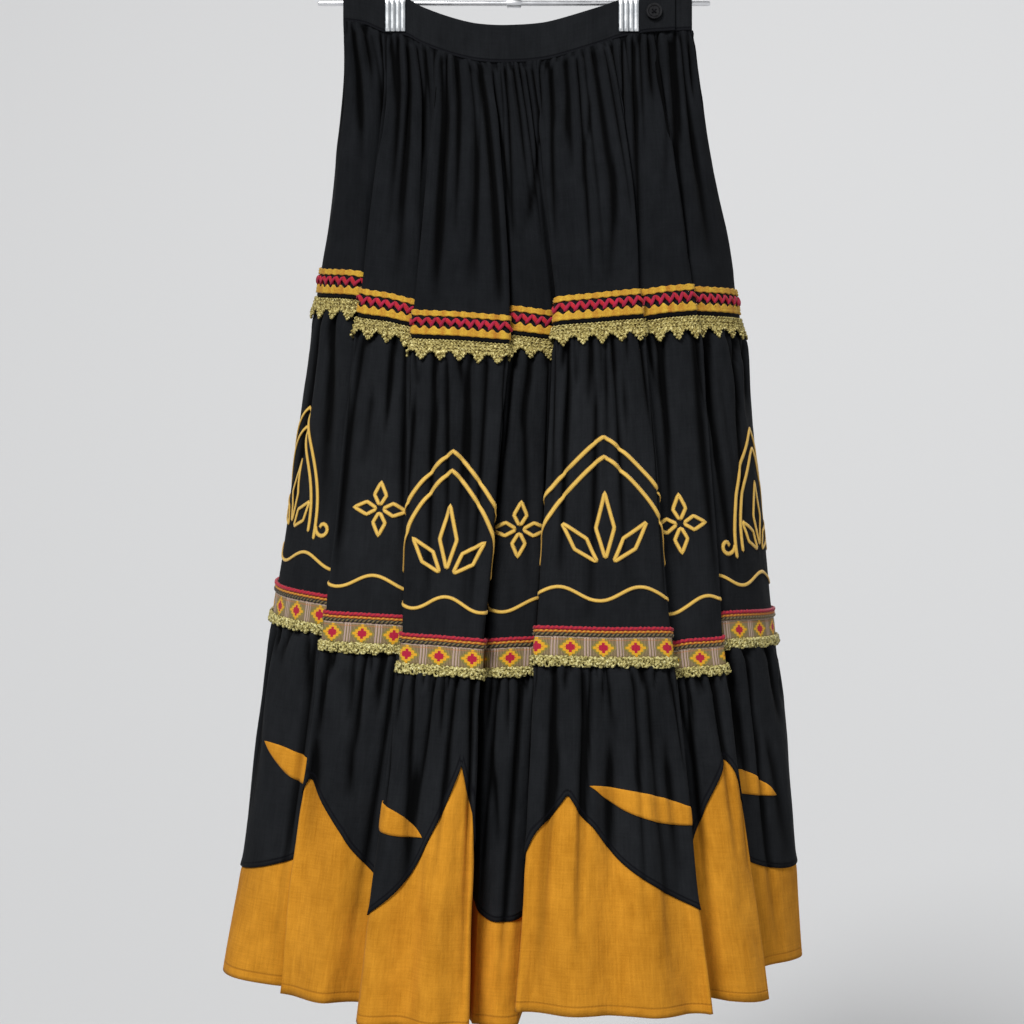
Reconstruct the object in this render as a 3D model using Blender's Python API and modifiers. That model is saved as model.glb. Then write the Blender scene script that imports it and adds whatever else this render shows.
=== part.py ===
# Gathered three-tier maxi skirt on a metal clip hanger, built as closed solids.
# Metres, +Z up. The origin is the top of the inside of the hook, where it hangs on a rail.
# The front of the skirt faces -Y and +X is to the viewer's right.
import math

import bmesh
import bpy
from mathutils import Vector

MM = 0.001

# Driving sizes
BAND_HEIGHT = 36 * MM
BAND_THICK = 2.4 * MM
CLOTH = 1.2 * MM
SEAM_GAP = 0.4 * MM
SIDE_SEAM_GAP = 0.7 * MM
LIE_GAP = 0.35 * MM
WAIST_GAP = 0.7 * MM
BAR_Z = -95 * MM
BAR_RADIUS = 2.5 * MM
BAR_HALF = 190 * MM
BAND_Y = -8.0 * MM
WAIST_END_RADIUS = 3.6 * MM

# Nominal drops below the waist seam
BRAID_TOP = 253
BRAID_FOOT = 275
LACE_TOP = 276.5
UPPER_SEAM = 288
LACE_NOTCH = 297
LACE_POINT = 305
CORDS_TOP = 553
CORDS_FOOT = 561
RIBBON_FOOT = 580.5
LOWER_LACE_TOP = 581
LOWER_SEAM = 586
LOWER_LACE_NOTCH = 589
LOWER_LACE_POINT = 595
HEM = 905

# Half the depth of the flattened waist along its width (share of half width, depth in mm)
WAIST_DEPTHS = (
    (-1.00, 3.6),
    (-0.93, 3.6),
    (-0.82, 1.5),
    (-0.59, 1.5),
    (-0.40, 5.0),
    (0.00, 9.0),
    (0.36, 5.0),
    (0.53, 1.5),
    (0.84, 1.5),
    (0.93, 3.4),
    (1.00, 3.6),
)

# The waist seam droops between the clips (share of half width, mm below the bar)
WAIST_SEAM = (
    (-1.00, 20.0),
    (-0.88, 23.0),
    (-0.77, 30.3),
    (-0.64, 33.8),
    (-0.55, 42.0),
    (-0.38, 53.0),
    (-0.22, 59.5),
    (-0.03, 61.0),
    (0.14, 58.5),
    (0.26, 53.5),
    (0.48, 41.5),
    (0.58, 35.5),
    (0.70, 31.5),
    (1.00, 28.5),
)

# Outline by level: drop, middle, half width, front reach, back reach, depth of the flutes (mm)
LEVELS = (
    (0, 3.4, 167.3, 9, 9, 0),
    (60, 8.0, 172.0, 32, 25, 4),
    (250, 13.6, 203.0, 85, 62, 20),
    (555, 10.2, 245.0, 135, 95, 36),
    (905, -2.4, 288.0, 175, 118, 54),
)

# Folds all round, from the viewer's left edge across the front, then back behind:
# first angle, columns, reach, bend of its sides, ripples, then mm below the bar at its middle
# for the braid, the ribbon and the hem
FOLDS = (
    (-22.0, 10, 0.90, 70, 2, 264, 566, 925),
    (36.9, 8, 0.95, 95, 2, 290, 588, 930),
    (58.0, 12, 1.10, 104, 3, 311, 606, 947),
    (83.4, 6, 0.42, 75, 1, 307, 605, 950),
    (92.3, 16, 1.20, 102, 4, 296, 594, 932),
    (126.9, 8, 0.95, 95, 2, 287, 610, 938),
    (145.1, 10, 0.90, 70, 2, 285, 585, 920),
    (196.0, 6, 0.85, 85, 1, 286, 590, 930),
    (222.0, 6, 1.00, 95, 1, 296, 597, 940),
    (246.0, 8, 0.80, 90, 2, 306, 602, 944),
    (281.0, 6, 1.05, 95, 1, 300, 596, 938),
    (305.0, 6, 0.85, 85, 1, 282, 582, 930),
)
# How far each fold's first edge drifts round, in degrees, at the braid, the ribbon and the hem
DRIFT_DROPS = (250, 570, 905)
DRIFT = (
    (0, 0, 0),
    (3, 5.5, 5.5),
    (1.4, 6, 3.6),
    (0.2, -3.8, -2.8),
    (5.7, 1.2, 0.3),
    (-7.5, -6, -0.8),
    (-7, -8, 0),
    (0, 0, 0),
    (0, 0, 0),
    (0, 0, 0),
    (0, 0, 0),
    (0, 0, 0),
)
FIRST_TURN = FOLDS[0][0]
COLUMNS = sum(fold[1] for fold in FOLDS)

# Height of the gathers' crests above the cloth by drop (mm)
GATHERS = (
    (0, 1.2),
    (18, 3.2),
    (70, 1.8),
    (160, 0.7),
    (BRAID_TOP - 1, 0),
    (UPPER_SEAM, 0),
    (UPPER_SEAM + 0.4, 1.0),
    (LACE_POINT, 4.6),
    (355, 2.2),
    (450, 0.6),
    (CORDS_TOP - 1, 0),
    (LOWER_SEAM, 0),
    (LOWER_SEAM + 0.4, 0.8),
    (606, 4.8),
    (655, 2.6),
    (HEM, 0),
)
RIPPLE = ((0, 0), (LOWER_SEAM, 0), (655, 3.0), (HEM, 7.5))

UPPER_ROWS = (0, 18, 70, 160, BRAID_TOP - 1, UPPER_SEAM)
MIDDLE_ROWS = (UPPER_SEAM + 0.4, LACE_POINT, 355, 450, CORDS_TOP - 1, LOWER_SEAM)
LOWER_ROWS = (LOWER_SEAM + 0.4, 606, 655)

# Pointed arches of the hem border: the columns of their round feet, with a tip between two
ARCH_FEET = (4.5, 19.5, 33.0, 50.0, 64.5, 79.0, 91.0)
TALL_TIP = 668
SHORT_TIP = 706
ARCH_FOOT = 812
ARCH_CURVE = 0.9

# Waistband overlap at the viewer's right
OVERLAP_END = 0.905
UNDER_END = 0.745
OVERLAP_CLEAR = 0.705
OVERLAP_LIFT = 3.0 * MM
BAND_STEPS = 84

# Button
BUTTON_SHARE = 0.785
BUTTON_DROP = 11.2 * MM
BUTTON_RADIUS = 8.0 * MM
BUTTON_THICK = 2.8 * MM
BUTTON_HOLE = 0.95 * MM
BUTTON_HOLE_OUT = 2.1 * MM

# Clips
CLIP_XS = (("left", -114.5 * MM), ("right", 110.6 * MM))
CLIP_WIDTH = 19.5 * MM
CLIP_PLATE = 1.0 * MM
CLIP_RIB = 0.8 * MM
CLIP_RIBS = 4
JAW_BEND_ROWS = 3
SLEEVE_RADIUS = 3.3 * MM
FRONT_JAW = (
    (-11.5, -29.8),
    (-11.5, -14.0),
    (-11.6, 2.0),
    (-11.4, 6.2),
    (-9.4, 8.6),
    (-4.6, 7.6),
    (-1.9, 4.2),
)
BACK_JAW = (
    (-4.5, -29.8),
    (-4.5, -18.0),
    (-4.4, -10.0),
    (-1.6, -4.4),
)

# Hook
WIRE_RADIUS = 1.75 * MM
HOOK_INSIDE = 20 * MM
HUB_RADIUS = 3.6 * MM
HUB_THICK = 1.4 * MM
HUB_LENGTH = 14 * MM


def clear_scene():
    for item in list(bpy.data.objects):
        bpy.data.objects.remove(item, do_unlink=True)


def make_collection(name):
    group = bpy.data.collections.new(name)
    bpy.context.scene.collection.children.link(group)
    return group


def make_material(name, colour, roughness, metallic=0.0):
    material = bpy.data.materials.new(name)
    material.use_nodes = True
    shader = material.node_tree.nodes["Principled BSDF"]
    shader.inputs["Base Color"].default_value = (*colour, 1.0)
    shader.inputs["Roughness"].default_value = roughness
    shader.inputs["Metallic"].default_value = metallic
    return material


def place(item, material, smooth=30):
    for group in list(item.users_collection):
        group.objects.unlink(item)
    parts.objects.link(item)
    item.data.materials.clear()
    item.data.materials.append(material)
    if item.type == "MESH" and smooth:
        item.data.shade_smooth()
        item.data.set_sharp_from_angle(angle=math.radians(smooth))
    return item


# Reading the short tables
def straight(rows, where, column=1):
    if where <= rows[0][0]:
        return rows[0][column]
    for low, high in zip(rows, rows[1:]):
        if where <= high[0]:
            share = (where - low[0]) / (high[0] - low[0])
            return low[column] + (high[column] - low[column]) * share
    return rows[-1][column]


def slope_at(rows, index, column):
    before = rows[max(index - 1, 0)]
    after = rows[min(index + 1, len(rows) - 1)]
    return (after[column] - before[column]) / (after[0] - before[0])


def curved(rows, where, column=1):
    where = min(max(where, rows[0][0]), rows[-1][0])
    index = 0
    while index < len(rows) - 2 and where > rows[index + 1][0]:
        index += 1
    low, high = rows[index], rows[index + 1]
    span = high[0] - low[0]
    share = (where - low[0]) / span
    rise = 3 * share ** 2 - 2 * share ** 3
    start = (share - 2 * share ** 2 + share ** 3) * span * slope_at(rows, index, column)
    end = (share ** 3 - share ** 2) * span * slope_at(rows, index + 1, column)
    return low[column] + (high[column] - low[column]) * rise + start + end


def fold_profile(bend, steps=48):
    """Along and out positions of one fold whose side direction swings by bend."""
    along, out = [0.0], [0.0]
    for step in range(steps):
        lean = bend * math.sin(2 * math.pi * (step + 0.5) / steps)
        along.append(along[-1] + math.cos(lean))
        out.append(out[-1] + math.sin(lean))
    crest = max(out) or 1.0
    return [value / along[-1] for value in along], [value / crest for value in out]


def sample(values, share):
    place_in = share * (len(values) - 1)
    index = min(int(place_in), len(values) - 2)
    return values[index] + (values[index + 1] - values[index]) * (place_in - index)


def fold_end(index):
    return FOLDS[index + 1][0] if index + 1 < len(FOLDS) else FIRST_TURN + 360


def fold_start(index, drop):
    """First angle of a fold at a drop, drifted; the index may run one past the last fold."""
    whole, index = divmod(index, len(FOLDS))
    rows = ((0, 0),) + tuple(zip(DRIFT_DROPS, DRIFT[index]))
    return FOLDS[index][0] + 360 * whole + straight(rows, drop)


def column_places():
    places = []
    for index, fold in enumerate(FOLDS):
        places += [(index, step / fold[1]) for step in range(fold[1])]
    return places


PLACES = column_places()


def hang_rows(column):
    """Heights at the middle of each fold, wrapped at both ends."""
    rows = [((fold[0] + fold_end(index)) / 2, fold[column]) for index, fold in enumerate(FOLDS)]
    first = (rows[0][0] + 360, rows[0][1])
    last = (rows[-1][0] - 360, rows[-1][1])
    return [last] + rows + [first]


HANG_BRAID = hang_rows(5)
HANG_RIBBON = hang_rows(6)
HANG_HEM = hang_rows(7)


def height_at(turn, drop):
    """Height of the cloth under the bar at an angle round the skirt."""
    share = -math.cos(math.radians(turn))
    below = (
        (0, curved(WAIST_SEAM, share)),
        (BRAID_TOP, curved(HANG_BRAID, turn)),
        (CORDS_TOP, curved(HANG_RIBBON, turn)),
        (HEM, curved(HANG_HEM, turn)),
    )
    return BAR_Z - straight(below, drop) * MM


def waist_half(share):
    """Half depth of the flattened waist, closed by a round fold at each side."""
    half_width = LEVELS[0][2] * MM
    edge = (1 - abs(share)) * half_width / WAIST_END_RADIUS
    cap = math.sqrt(max(0.0, 1 - (1 - min(edge, 1.0)) ** 2))
    return straight(WAIST_DEPTHS, share) * MM * cap


def base_point(turn, drop):
    """Point and outward direction on the smooth oval of the skirt."""
    angle = math.radians(turn)
    flute = curved(LEVELS, drop, 5) * MM
    half = curved(LEVELS, drop, 2) * MM - flute / 2
    reach = curved(LEVELS, drop, 3 if math.sin(angle) > 0 else 4) * MM - flute / 2
    open_share = min(1.0, drop / 150) ** 0.7
    flat = waist_half(-math.cos(angle)) * (1 if math.sin(angle) > 0 else -1)
    depth = flat * (1 - open_share) + reach * math.sin(angle) * open_share
    x = curved(LEVELS, drop, 1) * MM - half * math.cos(angle)
    normal = Vector((-reach * math.cos(angle), -half * math.sin(angle), 0)).normalized()
    return Vector((x, BAND_Y - depth, height_at(turn, drop))), normal


def gather_height(column, drop):
    if column % 2:
        return 0.0
    uneven = 0.78 + 0.22 * math.sin(2.3 * column + drop * 0.004)
    return straight(GATHERS, drop) * uneven * MM


def wall_point(column, drop, out=0.0):
    """Middle of the cloth at a column round and a drop below the waist seam."""
    index, along_share = PLACES[column % COLUMNS]
    _, _, reach, bend, ripples = FOLDS[index][:5]
    first = fold_start(index, drop)
    grown = curved(LEVELS, drop, 5) / LEVELS[-1][5]
    along, rise = fold_profile(math.radians(bend) * min(1.0, grown * 1.25) ** 0.5 + 0.001)
    turn = first + (fold_start(index + 1, drop) - first) * sample(along, along_share)
    point, normal = base_point(turn, drop)
    flute = curved(LEVELS, drop, 5) * MM
    push = flute * (reach * sample(rise, along_share) - 0.5)
    wave = math.sin(2 * math.pi * (ripples * along_share + 0.21 * index))
    ends = math.sin(math.pi * along_share)
    push += straight(RIPPLE, drop) * MM * wave * ends
    push += gather_height(column, drop) + out
    return point + normal * push


def ring(rows, drop, out=0.0):
    """All points at one drop, read from the panel's own rows and moved outward."""
    low = max([row for row in rows if row <= drop] or [rows[0]])
    high = min([row for row in rows if row >= drop] or [rows[-1]])
    share = (drop - low) / (high - low) if high > low else 0.0
    middle = []
    for column in range(COLUMNS):
        middle.append(wall_point(column, low).lerp(wall_point(column, high), share))
    if not out:
        return middle
    moved = []
    for column, point in enumerate(middle):
        before = point - middle[column - 1]
        after = middle[(column + 1) % COLUMNS] - point
        first = Vector((before.y, -before.x, 0)).normalized()
        second = Vector((after.y, -after.x, 0)).normalized()
        moved.append(point + (first + second) / (1 + first.dot(second)) * out)
    return moved


def sheet_mesh(name, rings, closed=False):
    """Cloth through rings of equal length, as a grid shaped row by row."""
    wide = len(rings[0]) + (1 if closed else 0)
    grid = bmesh.new()
    bmesh.ops.create_grid(grid, x_segments=wide - 1, y_segments=len(rings) - 1, size=1)
    grid.verts.ensure_lookup_table()
    for row, points in enumerate(rings):
        for column in range(wide):
            grid.verts[row * wide + column].co = points[column % len(points)]
    if closed:
        bmesh.ops.remove_doubles(grid, verts=grid.verts, dist=1e-6)
    mesh = bpy.data.meshes.new(name)
    grid.to_mesh(mesh)
    grid.free()
    return mesh


def cloth_piece(name, rings, thick, material, closed=False):
    item = bpy.data.objects.new(name, sheet_mesh(name, rings, closed))
    shell = item.modifiers.new("Thickness", "SOLIDIFY")
    shell.thickness = thick
    shell.offset = 0
    shell.use_even_offset = True
    return place(item, material, smooth=0)


def nearest_column(turn):
    def gap(column):
        index, share = PLACES[column]
        here = FOLDS[index][0] + (fold_end(index) - FOLDS[index][0]) * share
        return abs((here - turn + 180) % 360 - 180)
    return min(range(COLUMNS), key=gap)


LEFT_SEAM = nearest_column(0)
RIGHT_SEAM = nearest_column(180)


def half_ring(points, side):
    """The front or back stretch of a ring, drawn in at both side seams for the gap."""
    if side == "front":
        span = range(LEFT_SEAM, RIGHT_SEAM + 1)
    else:
        span = range(RIGHT_SEAM, LEFT_SEAM + COLUMNS + 1)
    stretch = [points[column % COLUMNS].copy() for column in span]
    for end, inner, beyond in ((0, 1, span[0] - 1), (-1, -2, span[-1] + 1)):
        step = stretch[inner] - stretch[end]
        other = stretch[end] - points[beyond % COLUMNS]
        corner = CLOTH * math.tan(step.angle(other) / 2)
        stretch[end] += step.normalized() * (SIDE_SEAM_GAP / 2 + corner)
    return stretch


def tier(name, rings, material):
    for side in ("front", "back"):
        cloth_piece(f"{name}_{side}", [half_ring(points, side) for points in rings], CLOTH, material)


def arch_edge(column):
    """Drop of the border's upper edge: pointed arches between round black drops."""
    feet = ARCH_FEET + (ARCH_FEET[0] + COLUMNS,)
    place_in = (column - feet[0]) % COLUMNS + feet[0]
    number = max(index for index in range(len(ARCH_FEET)) if feet[index] <= place_in)
    tip = TALL_TIP if number % 2 else SHORT_TIP
    away = abs((place_in - feet[number]) / (feet[number + 1] - feet[number]) - 0.5) * 2
    return tip + (ARCH_FOOT - tip) * math.sin(math.pi / 2 * away ** ARCH_CURVE)


def edge_gap(column, points):
    """Gap along the cloth that leaves the seam gap square to a slanting, turning edge."""
    before = points[column] - points[column - 1]
    after = points[(column + 1) % COLUMNS] - points[column]
    steepest = max(abs(step.z) / math.hypot(step.x, step.y) for step in (before, after))
    corner = math.tan(before.xy.angle(after.xy) / 2)
    return SEAM_GAP * math.hypot(1, steepest) + 2 * CLOTH * corner * steepest


def arch_rings():
    """Lowest ring of the black tier and the rings of the border."""
    black, top, middle, hem = [], [], [], []
    for column in range(COLUMNS):
        edge = arch_edge(column)
        upper = wall_point(column, LOWER_ROWS[-1])
        lower = wall_point(column, HEM)
        share = (edge - LOWER_ROWS[-1]) / (HEM - LOWER_ROWS[-1])
        half_share = (1 + share) / 2
        bow = wall_point(column, (LOWER_ROWS[-1] + HEM) / 2) - upper.lerp(lower, 0.5)
        black.append(upper.lerp(lower, share) + bow * 4 * share * (1 - share))
        middle.append(upper.lerp(lower, half_share) + bow * 4 * half_share * (1 - half_share))
        hem.append(lower)
    for column in range(COLUMNS):
        downward = (middle[column] - black[column]).normalized()
        top.append(black[column] + downward * edge_gap(column, black))
    return black, top, middle, hem


def lace_foot(rows, notch, point, out):
    """Scalloped lower edge: a point under each gather, a notch between two."""
    low = ring(rows, point, out)
    high = ring(rows, notch, out)
    return [high[column] if column % 2 else low[column] for column in range(COLUMNS)]


def build_skirt():
    upper = [ring(UPPER_ROWS, drop) for drop in UPPER_ROWS]
    upper[0] = [point - Vector((0, 0, WAIST_GAP)) for point in upper[0]]
    tier("upper_tier", upper, black_cloth)
    tier("middle_tier", [ring(MIDDLE_ROWS, drop) for drop in MIDDLE_ROWS], black_cloth)
    black, top, middle, hem = arch_rings()
    tier("lower_tier", [ring(LOWER_ROWS, drop) for drop in LOWER_ROWS] + [black], black_cloth)
    tier("hem_border", [top, middle, hem], mustard_cloth)


def trim_ring(name, drops, rows, thick, material):
    out = CLOTH / 2 + LIE_GAP + thick / 2
    cloth_piece(name, [ring(rows, drop, out) for drop in drops], thick, material, closed=True)


def build_trims():
    trim_ring("upper_braid", (BRAID_TOP, BRAID_FOOT), UPPER_ROWS, 1.8 * MM, braid_cloth)
    trim_ring("lower_cords", (CORDS_TOP, CORDS_FOOT - 0.4), MIDDLE_ROWS, 2.0 * MM, cord_cloth)
    trim_ring("lower_ribbon", (CORDS_FOOT, RIBBON_FOOT), MIDDLE_ROWS, 1.2 * MM, ribbon_cloth)
    thick = 1.2 * MM
    out = CLOTH / 2 + LIE_GAP + 0.25 * MM + thick / 2
    upper_lace = [
        ring(UPPER_ROWS, LACE_TOP, out),
        lace_foot(MIDDLE_ROWS, LACE_NOTCH, LACE_POINT, out),
    ]
    cloth_piece("upper_lace", upper_lace, thick, gold_lace, closed=True)
    lower_lace = [
        ring(MIDDLE_ROWS, LOWER_LACE_TOP, out),
        lace_foot(LOWER_ROWS, LOWER_LACE_NOTCH, LOWER_LACE_POINT, out),
    ]
    cloth_piece("lower_lace", lower_lace, thick, gold_lace, closed=True)


def band_point(turn, rise):
    """Middle of the waistband; its buttoned end lies over the other end."""
    angle = math.radians(turn)
    share = -math.cos(angle)
    front = 1 if math.sin(angle) > 0 else -1
    lifted = 0.0
    if 0 < turn < 180 and share > OVERLAP_CLEAR:
        lifted = OVERLAP_LIFT * min(1.0, (share - OVERLAP_CLEAR) / (UNDER_END - OVERLAP_CLEAR - 0.01))
    x = (LEVELS[0][1] + LEVELS[0][2] * share) * MM
    y = BAND_Y - front * waist_half(share) - lifted
    z = BAR_Z - curved(WAIST_SEAM, share) * MM + rise
    return Vector((x, y, z))


def build_waistband():
    first = math.degrees(math.acos(-OVERLAP_END))
    last = math.degrees(math.acos(-UNDER_END)) - 360
    turns = [first + (last - first) * step / BAND_STEPS for step in range(BAND_STEPS + 1)]
    bends = [math.degrees(math.acos(-share)) for share in (OVERLAP_CLEAR, UNDER_END - 0.01)]
    turns = [turn for turn in turns if min(abs(turn - bend) for bend in bends) > 1.5]
    turns = sorted(turns + bends, reverse=True)
    rings = [[band_point(turn, rise) for turn in turns] for rise in (0.0, BAND_HEIGHT)]
    cloth_piece("waistband", rings, BAND_THICK, black_cloth)


def build_button():
    """Four-hole button with a raised rim, turned about its axis and drilled."""
    half = BUTTON_THICK / 2
    profile = (
        (0.0, -half),
        (BUTTON_RADIUS * 0.86, -half),
        (BUTTON_RADIUS, -half * 0.2),
        (BUTTON_RADIUS * 0.95, half),
        (BUTTON_RADIUS * 0.74, half),
        (BUTTON_RADIUS * 0.62, half * 0.3),
        (0.0, half * 0.15),
    )
    disc = bmesh.new()
    points = [disc.verts.new((radius, 0, high)) for radius, high in profile]
    edges = [disc.edges.new(pair) for pair in zip(points, points[1:])]
    bmesh.ops.spin(disc, geom=points + edges, axis=(0, 0, 1), cent=(0, 0, 0), steps=20,
                   angle=2 * math.pi, use_duplicate=False)
    bmesh.ops.remove_doubles(disc, verts=disc.verts, dist=1e-5)
    bmesh.ops.recalc_face_normals(disc, faces=disc.faces)
    mesh = bpy.data.meshes.new("waistband_button")
    disc.to_mesh(mesh)
    disc.free()
    button = bpy.data.objects.new("waistband_button", mesh)
    turn = math.degrees(math.acos(-BUTTON_SHARE))
    seat = band_point(turn, 0)
    button.rotation_euler = (math.radians(90), 0, 0)
    button.location = (seat.x, seat.y - BAND_THICK / 2 - SEAM_GAP - half, BAR_Z - BUTTON_DROP)
    place(button, button_plastic)
    for number in range(4):
        angle = math.radians(45 + 90 * number)
        bpy.ops.mesh.primitive_cylinder_add(vertices=8, radius=BUTTON_HOLE, depth=0.02)
        cutter = bpy.context.object
        cutter.name = f"button_hole_{number + 1}"
        cutter.rotation_euler = button.rotation_euler
        across = Vector((math.cos(angle), 0, math.sin(angle))) * BUTTON_HOLE_OUT
        cutter.location = button.location + across
        cutter.hide_render = True
        cutter.display_type = "WIRE"
        for group in list(cutter.users_collection):
            group.objects.unlink(cutter)
        cutters.objects.link(cutter)
        hole = button.modifiers.new(cutter.name, "BOOLEAN")
        hole.object = cutter
        hole.operation = "DIFFERENCE"


def sleeve(name, x, radius, thick, length, material):
    """Open tube round the bar, given its wall by Solidify."""
    tube = bmesh.new()
    bmesh.ops.create_cone(tube, segments=16, radius1=radius, radius2=radius, depth=length)
    mesh = bpy.data.meshes.new(name)
    tube.to_mesh(mesh)
    tube.free()
    item = bpy.data.objects.new(name, mesh)
    item.rotation_euler = (0, math.radians(90), 0)
    item.location = (x, 0, BAR_Z)
    shell = item.modifiers.new("Wall", "SOLIDIFY")
    shell.thickness = thick
    shell.offset = 0
    return place(item, material)


def jaw(name, x, profile, ribbed, material):
    """Plate of a clip: a bent strip, its face pressed into upright ribs."""
    steps = CLIP_RIBS * 2
    rings = []
    for row, (depth, high) in enumerate(profile):
        rib_depth = CLIP_RIB if ribbed and row < len(profile) - JAW_BEND_ROWS else 0.0
        points = []
        for step in range(steps + 1):
            across = (step / steps - 0.5) * CLIP_WIDTH
            y = depth * MM - rib_depth * (step % 2)
            points.append(Vector((x + across, y, BAR_Z + high * MM)))
        rings.append(points)
    item = bpy.data.objects.new(name, sheet_mesh(name, rings))
    shell = item.modifiers.new("Plate", "SOLIDIFY")
    shell.thickness = CLIP_PLATE
    shell.offset = 0
    return place(item, material)


def build_hanger():
    bpy.ops.mesh.primitive_cylinder_add(vertices=16, radius=BAR_RADIUS, depth=BAR_HALF * 2)
    bar = bpy.context.object
    bar.name = "hanger_bar"
    bar.rotation_euler = (0, math.radians(90), 0)
    bar.location = (0, 0, BAR_Z)
    place(bar, chrome)
    sleeve("hanger_hub", 0, HUB_RADIUS, HUB_THICK, HUB_LENGTH, chrome)
    for side, x in CLIP_XS:
        sleeve(f"clip_{side}_sleeve", x, SLEEVE_RADIUS, 1.0 * MM, CLIP_WIDTH - 1 * MM, chrome)
        jaw(f"clip_{side}_front", x, FRONT_JAW, True, chrome)
        jaw(f"clip_{side}_back", x, BACK_JAW, False, chrome)


def hook_route():
    """Shaft up from the hub, a bend out, the round over the rail and a short tip."""
    foot = BAR_Z + HUB_RADIUS + HUB_THICK / 2 + SEAM_GAP
    middle = -HOOK_INSIDE
    radius = HOOK_INSIDE + WIRE_RADIUS
    route = [Vector((0, 0, foot)), Vector((0, 0, -74 * MM)), Vector((0, 0, -62 * MM))]
    route += [Vector((2 * MM, 0, -55 * MM)), Vector((9 * MM, 0, -46 * MM))]
    for step in range(15):
        angle = math.radians(-38 + 234 * step / 14)
        route.append(Vector((radius * math.cos(angle), 0, middle + radius * math.sin(angle))))
    route.append(route[-1] + Vector((-1.5 * MM, 0, -5 * MM)))
    return route


def build_hook():
    curve = bpy.data.curves.new("hanger_hook", "CURVE")
    curve.dimensions = "3D"
    curve.bevel_depth = WIRE_RADIUS
    curve.bevel_resolution = 2
    curve.use_fill_caps = True
    route = hook_route()
    spline = curve.splines.new("POLY")
    spline.points.add(len(route) - 1)
    for point, where in zip(spline.points, route):
        point.co = (*where, 1)
    place(bpy.data.objects.new("hanger_hook", curve), chrome, smooth=0)


clear_scene()
parts = make_collection("maxi skirt on clip hanger")
cutters = make_collection("cutters")
black_cloth = make_material("black_cloth", (0.012, 0.013, 0.017), 0.9)
mustard_cloth = make_material("mustard_cloth", (0.60, 0.26, 0.025), 0.88)
braid_cloth = make_material("braid", (0.50, 0.16, 0.03), 0.85)
gold_lace = make_material("gold_lace", (0.36, 0.29, 0.10), 0.55)
cord_cloth = make_material("cords", (0.42, 0.05, 0.03), 0.8)
ribbon_cloth = make_material("ribbon", (0.22, 0.15, 0.08), 0.85)
button_plastic = make_material("button_plastic", (0.015, 0.015, 0.018), 0.35)
chrome = make_material("chrome", (0.75, 0.76, 0.78), 0.18, 1.0)
build_skirt()
build_trims()
build_waistband()
build_button()
build_hanger()
build_hook()
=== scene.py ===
# %% [markdown]
# # A gathered maxi skirt on a clip hanger
# The skirt is a waistband and three gathered tiers of matt black cotton, trimmed with a
# crochet braid, gold lace, twisted cords and a woven ribbon, over a mustard hem border.
# The imported solids give every place and size. This script puts fine cloth, stitches and
# finishes on that form, so the frame is loaded first.

# %% Load the frame
import math
import random

import bmesh
import bpy
import numpy as np
from mathutils import Matrix, Vector


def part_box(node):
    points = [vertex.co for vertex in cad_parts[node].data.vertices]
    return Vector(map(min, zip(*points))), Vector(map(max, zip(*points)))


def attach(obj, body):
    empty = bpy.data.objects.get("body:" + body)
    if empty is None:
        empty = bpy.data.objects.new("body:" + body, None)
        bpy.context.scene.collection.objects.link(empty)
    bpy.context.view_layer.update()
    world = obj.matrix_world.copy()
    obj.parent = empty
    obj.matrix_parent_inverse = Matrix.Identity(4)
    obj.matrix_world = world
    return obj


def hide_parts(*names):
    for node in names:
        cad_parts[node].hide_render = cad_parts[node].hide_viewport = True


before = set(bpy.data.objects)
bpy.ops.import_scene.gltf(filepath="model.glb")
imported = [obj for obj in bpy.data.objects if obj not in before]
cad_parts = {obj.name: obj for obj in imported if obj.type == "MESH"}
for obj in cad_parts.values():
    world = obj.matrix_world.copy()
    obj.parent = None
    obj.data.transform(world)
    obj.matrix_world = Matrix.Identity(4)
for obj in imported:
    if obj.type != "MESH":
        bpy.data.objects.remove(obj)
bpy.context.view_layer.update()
MM = 0.001
print("nodes in the frame:", len(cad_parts))

# %% [markdown]
# ## Camera
# The skirt was seen straight on and level, so the camera looks along +Y from 1.9 m. One
# pixel of the square picture is 0.97 mm in the plane of the hanger bar.

# %% Camera
CAMERA_AT = Vector((-0.002, -1.9, -0.588))
LENS = 68.9
SENSOR = 36.0
PICTURE = 1024
lens = bpy.data.cameras.new("studio camera")
lens.sensor_width = SENSOR
lens.lens = LENS
camera = bpy.data.objects.new("studio camera", lens)
camera.location = CAMERA_AT
camera.rotation_euler = (math.radians(90), 0, 0)
bpy.context.scene.collection.objects.link(camera)
bpy.context.scene.camera = camera
print("view is", round(SENSOR / LENS * 1.9, 3), "m wide at the bar")

# %% [markdown]
# ## Studio
# A pale floor that curves up all round gives the same even ground from every
# side. It is one profile spun right round. Three wide suns keep the shadows soft.


# %% Floor and lights
def finish_mesh(name, shape, materials, smooth=True):
    """Turn a bmesh into an object that stands at the origin."""
    mesh = bpy.data.meshes.new(name)
    shape.to_mesh(mesh)
    shape.free()
    for material in materials:
        mesh.materials.append(material)
    if smooth:
        mesh.shade_smooth()
    item = bpy.data.objects.new(name, mesh)
    bpy.context.scene.collection.objects.link(item)
    return item


def sun_light(name, place, strength, softness):
    """Soft light that falls evenly from one side."""
    light = bpy.data.lights.new(name, "SUN")
    light.energy = strength
    light.angle = math.radians(softness)
    item = bpy.data.objects.new(name, light)
    item.rotation_euler = Vector(place).to_track_quat("Z", "Y").to_euler()
    bpy.context.scene.collection.objects.link(item)


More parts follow.
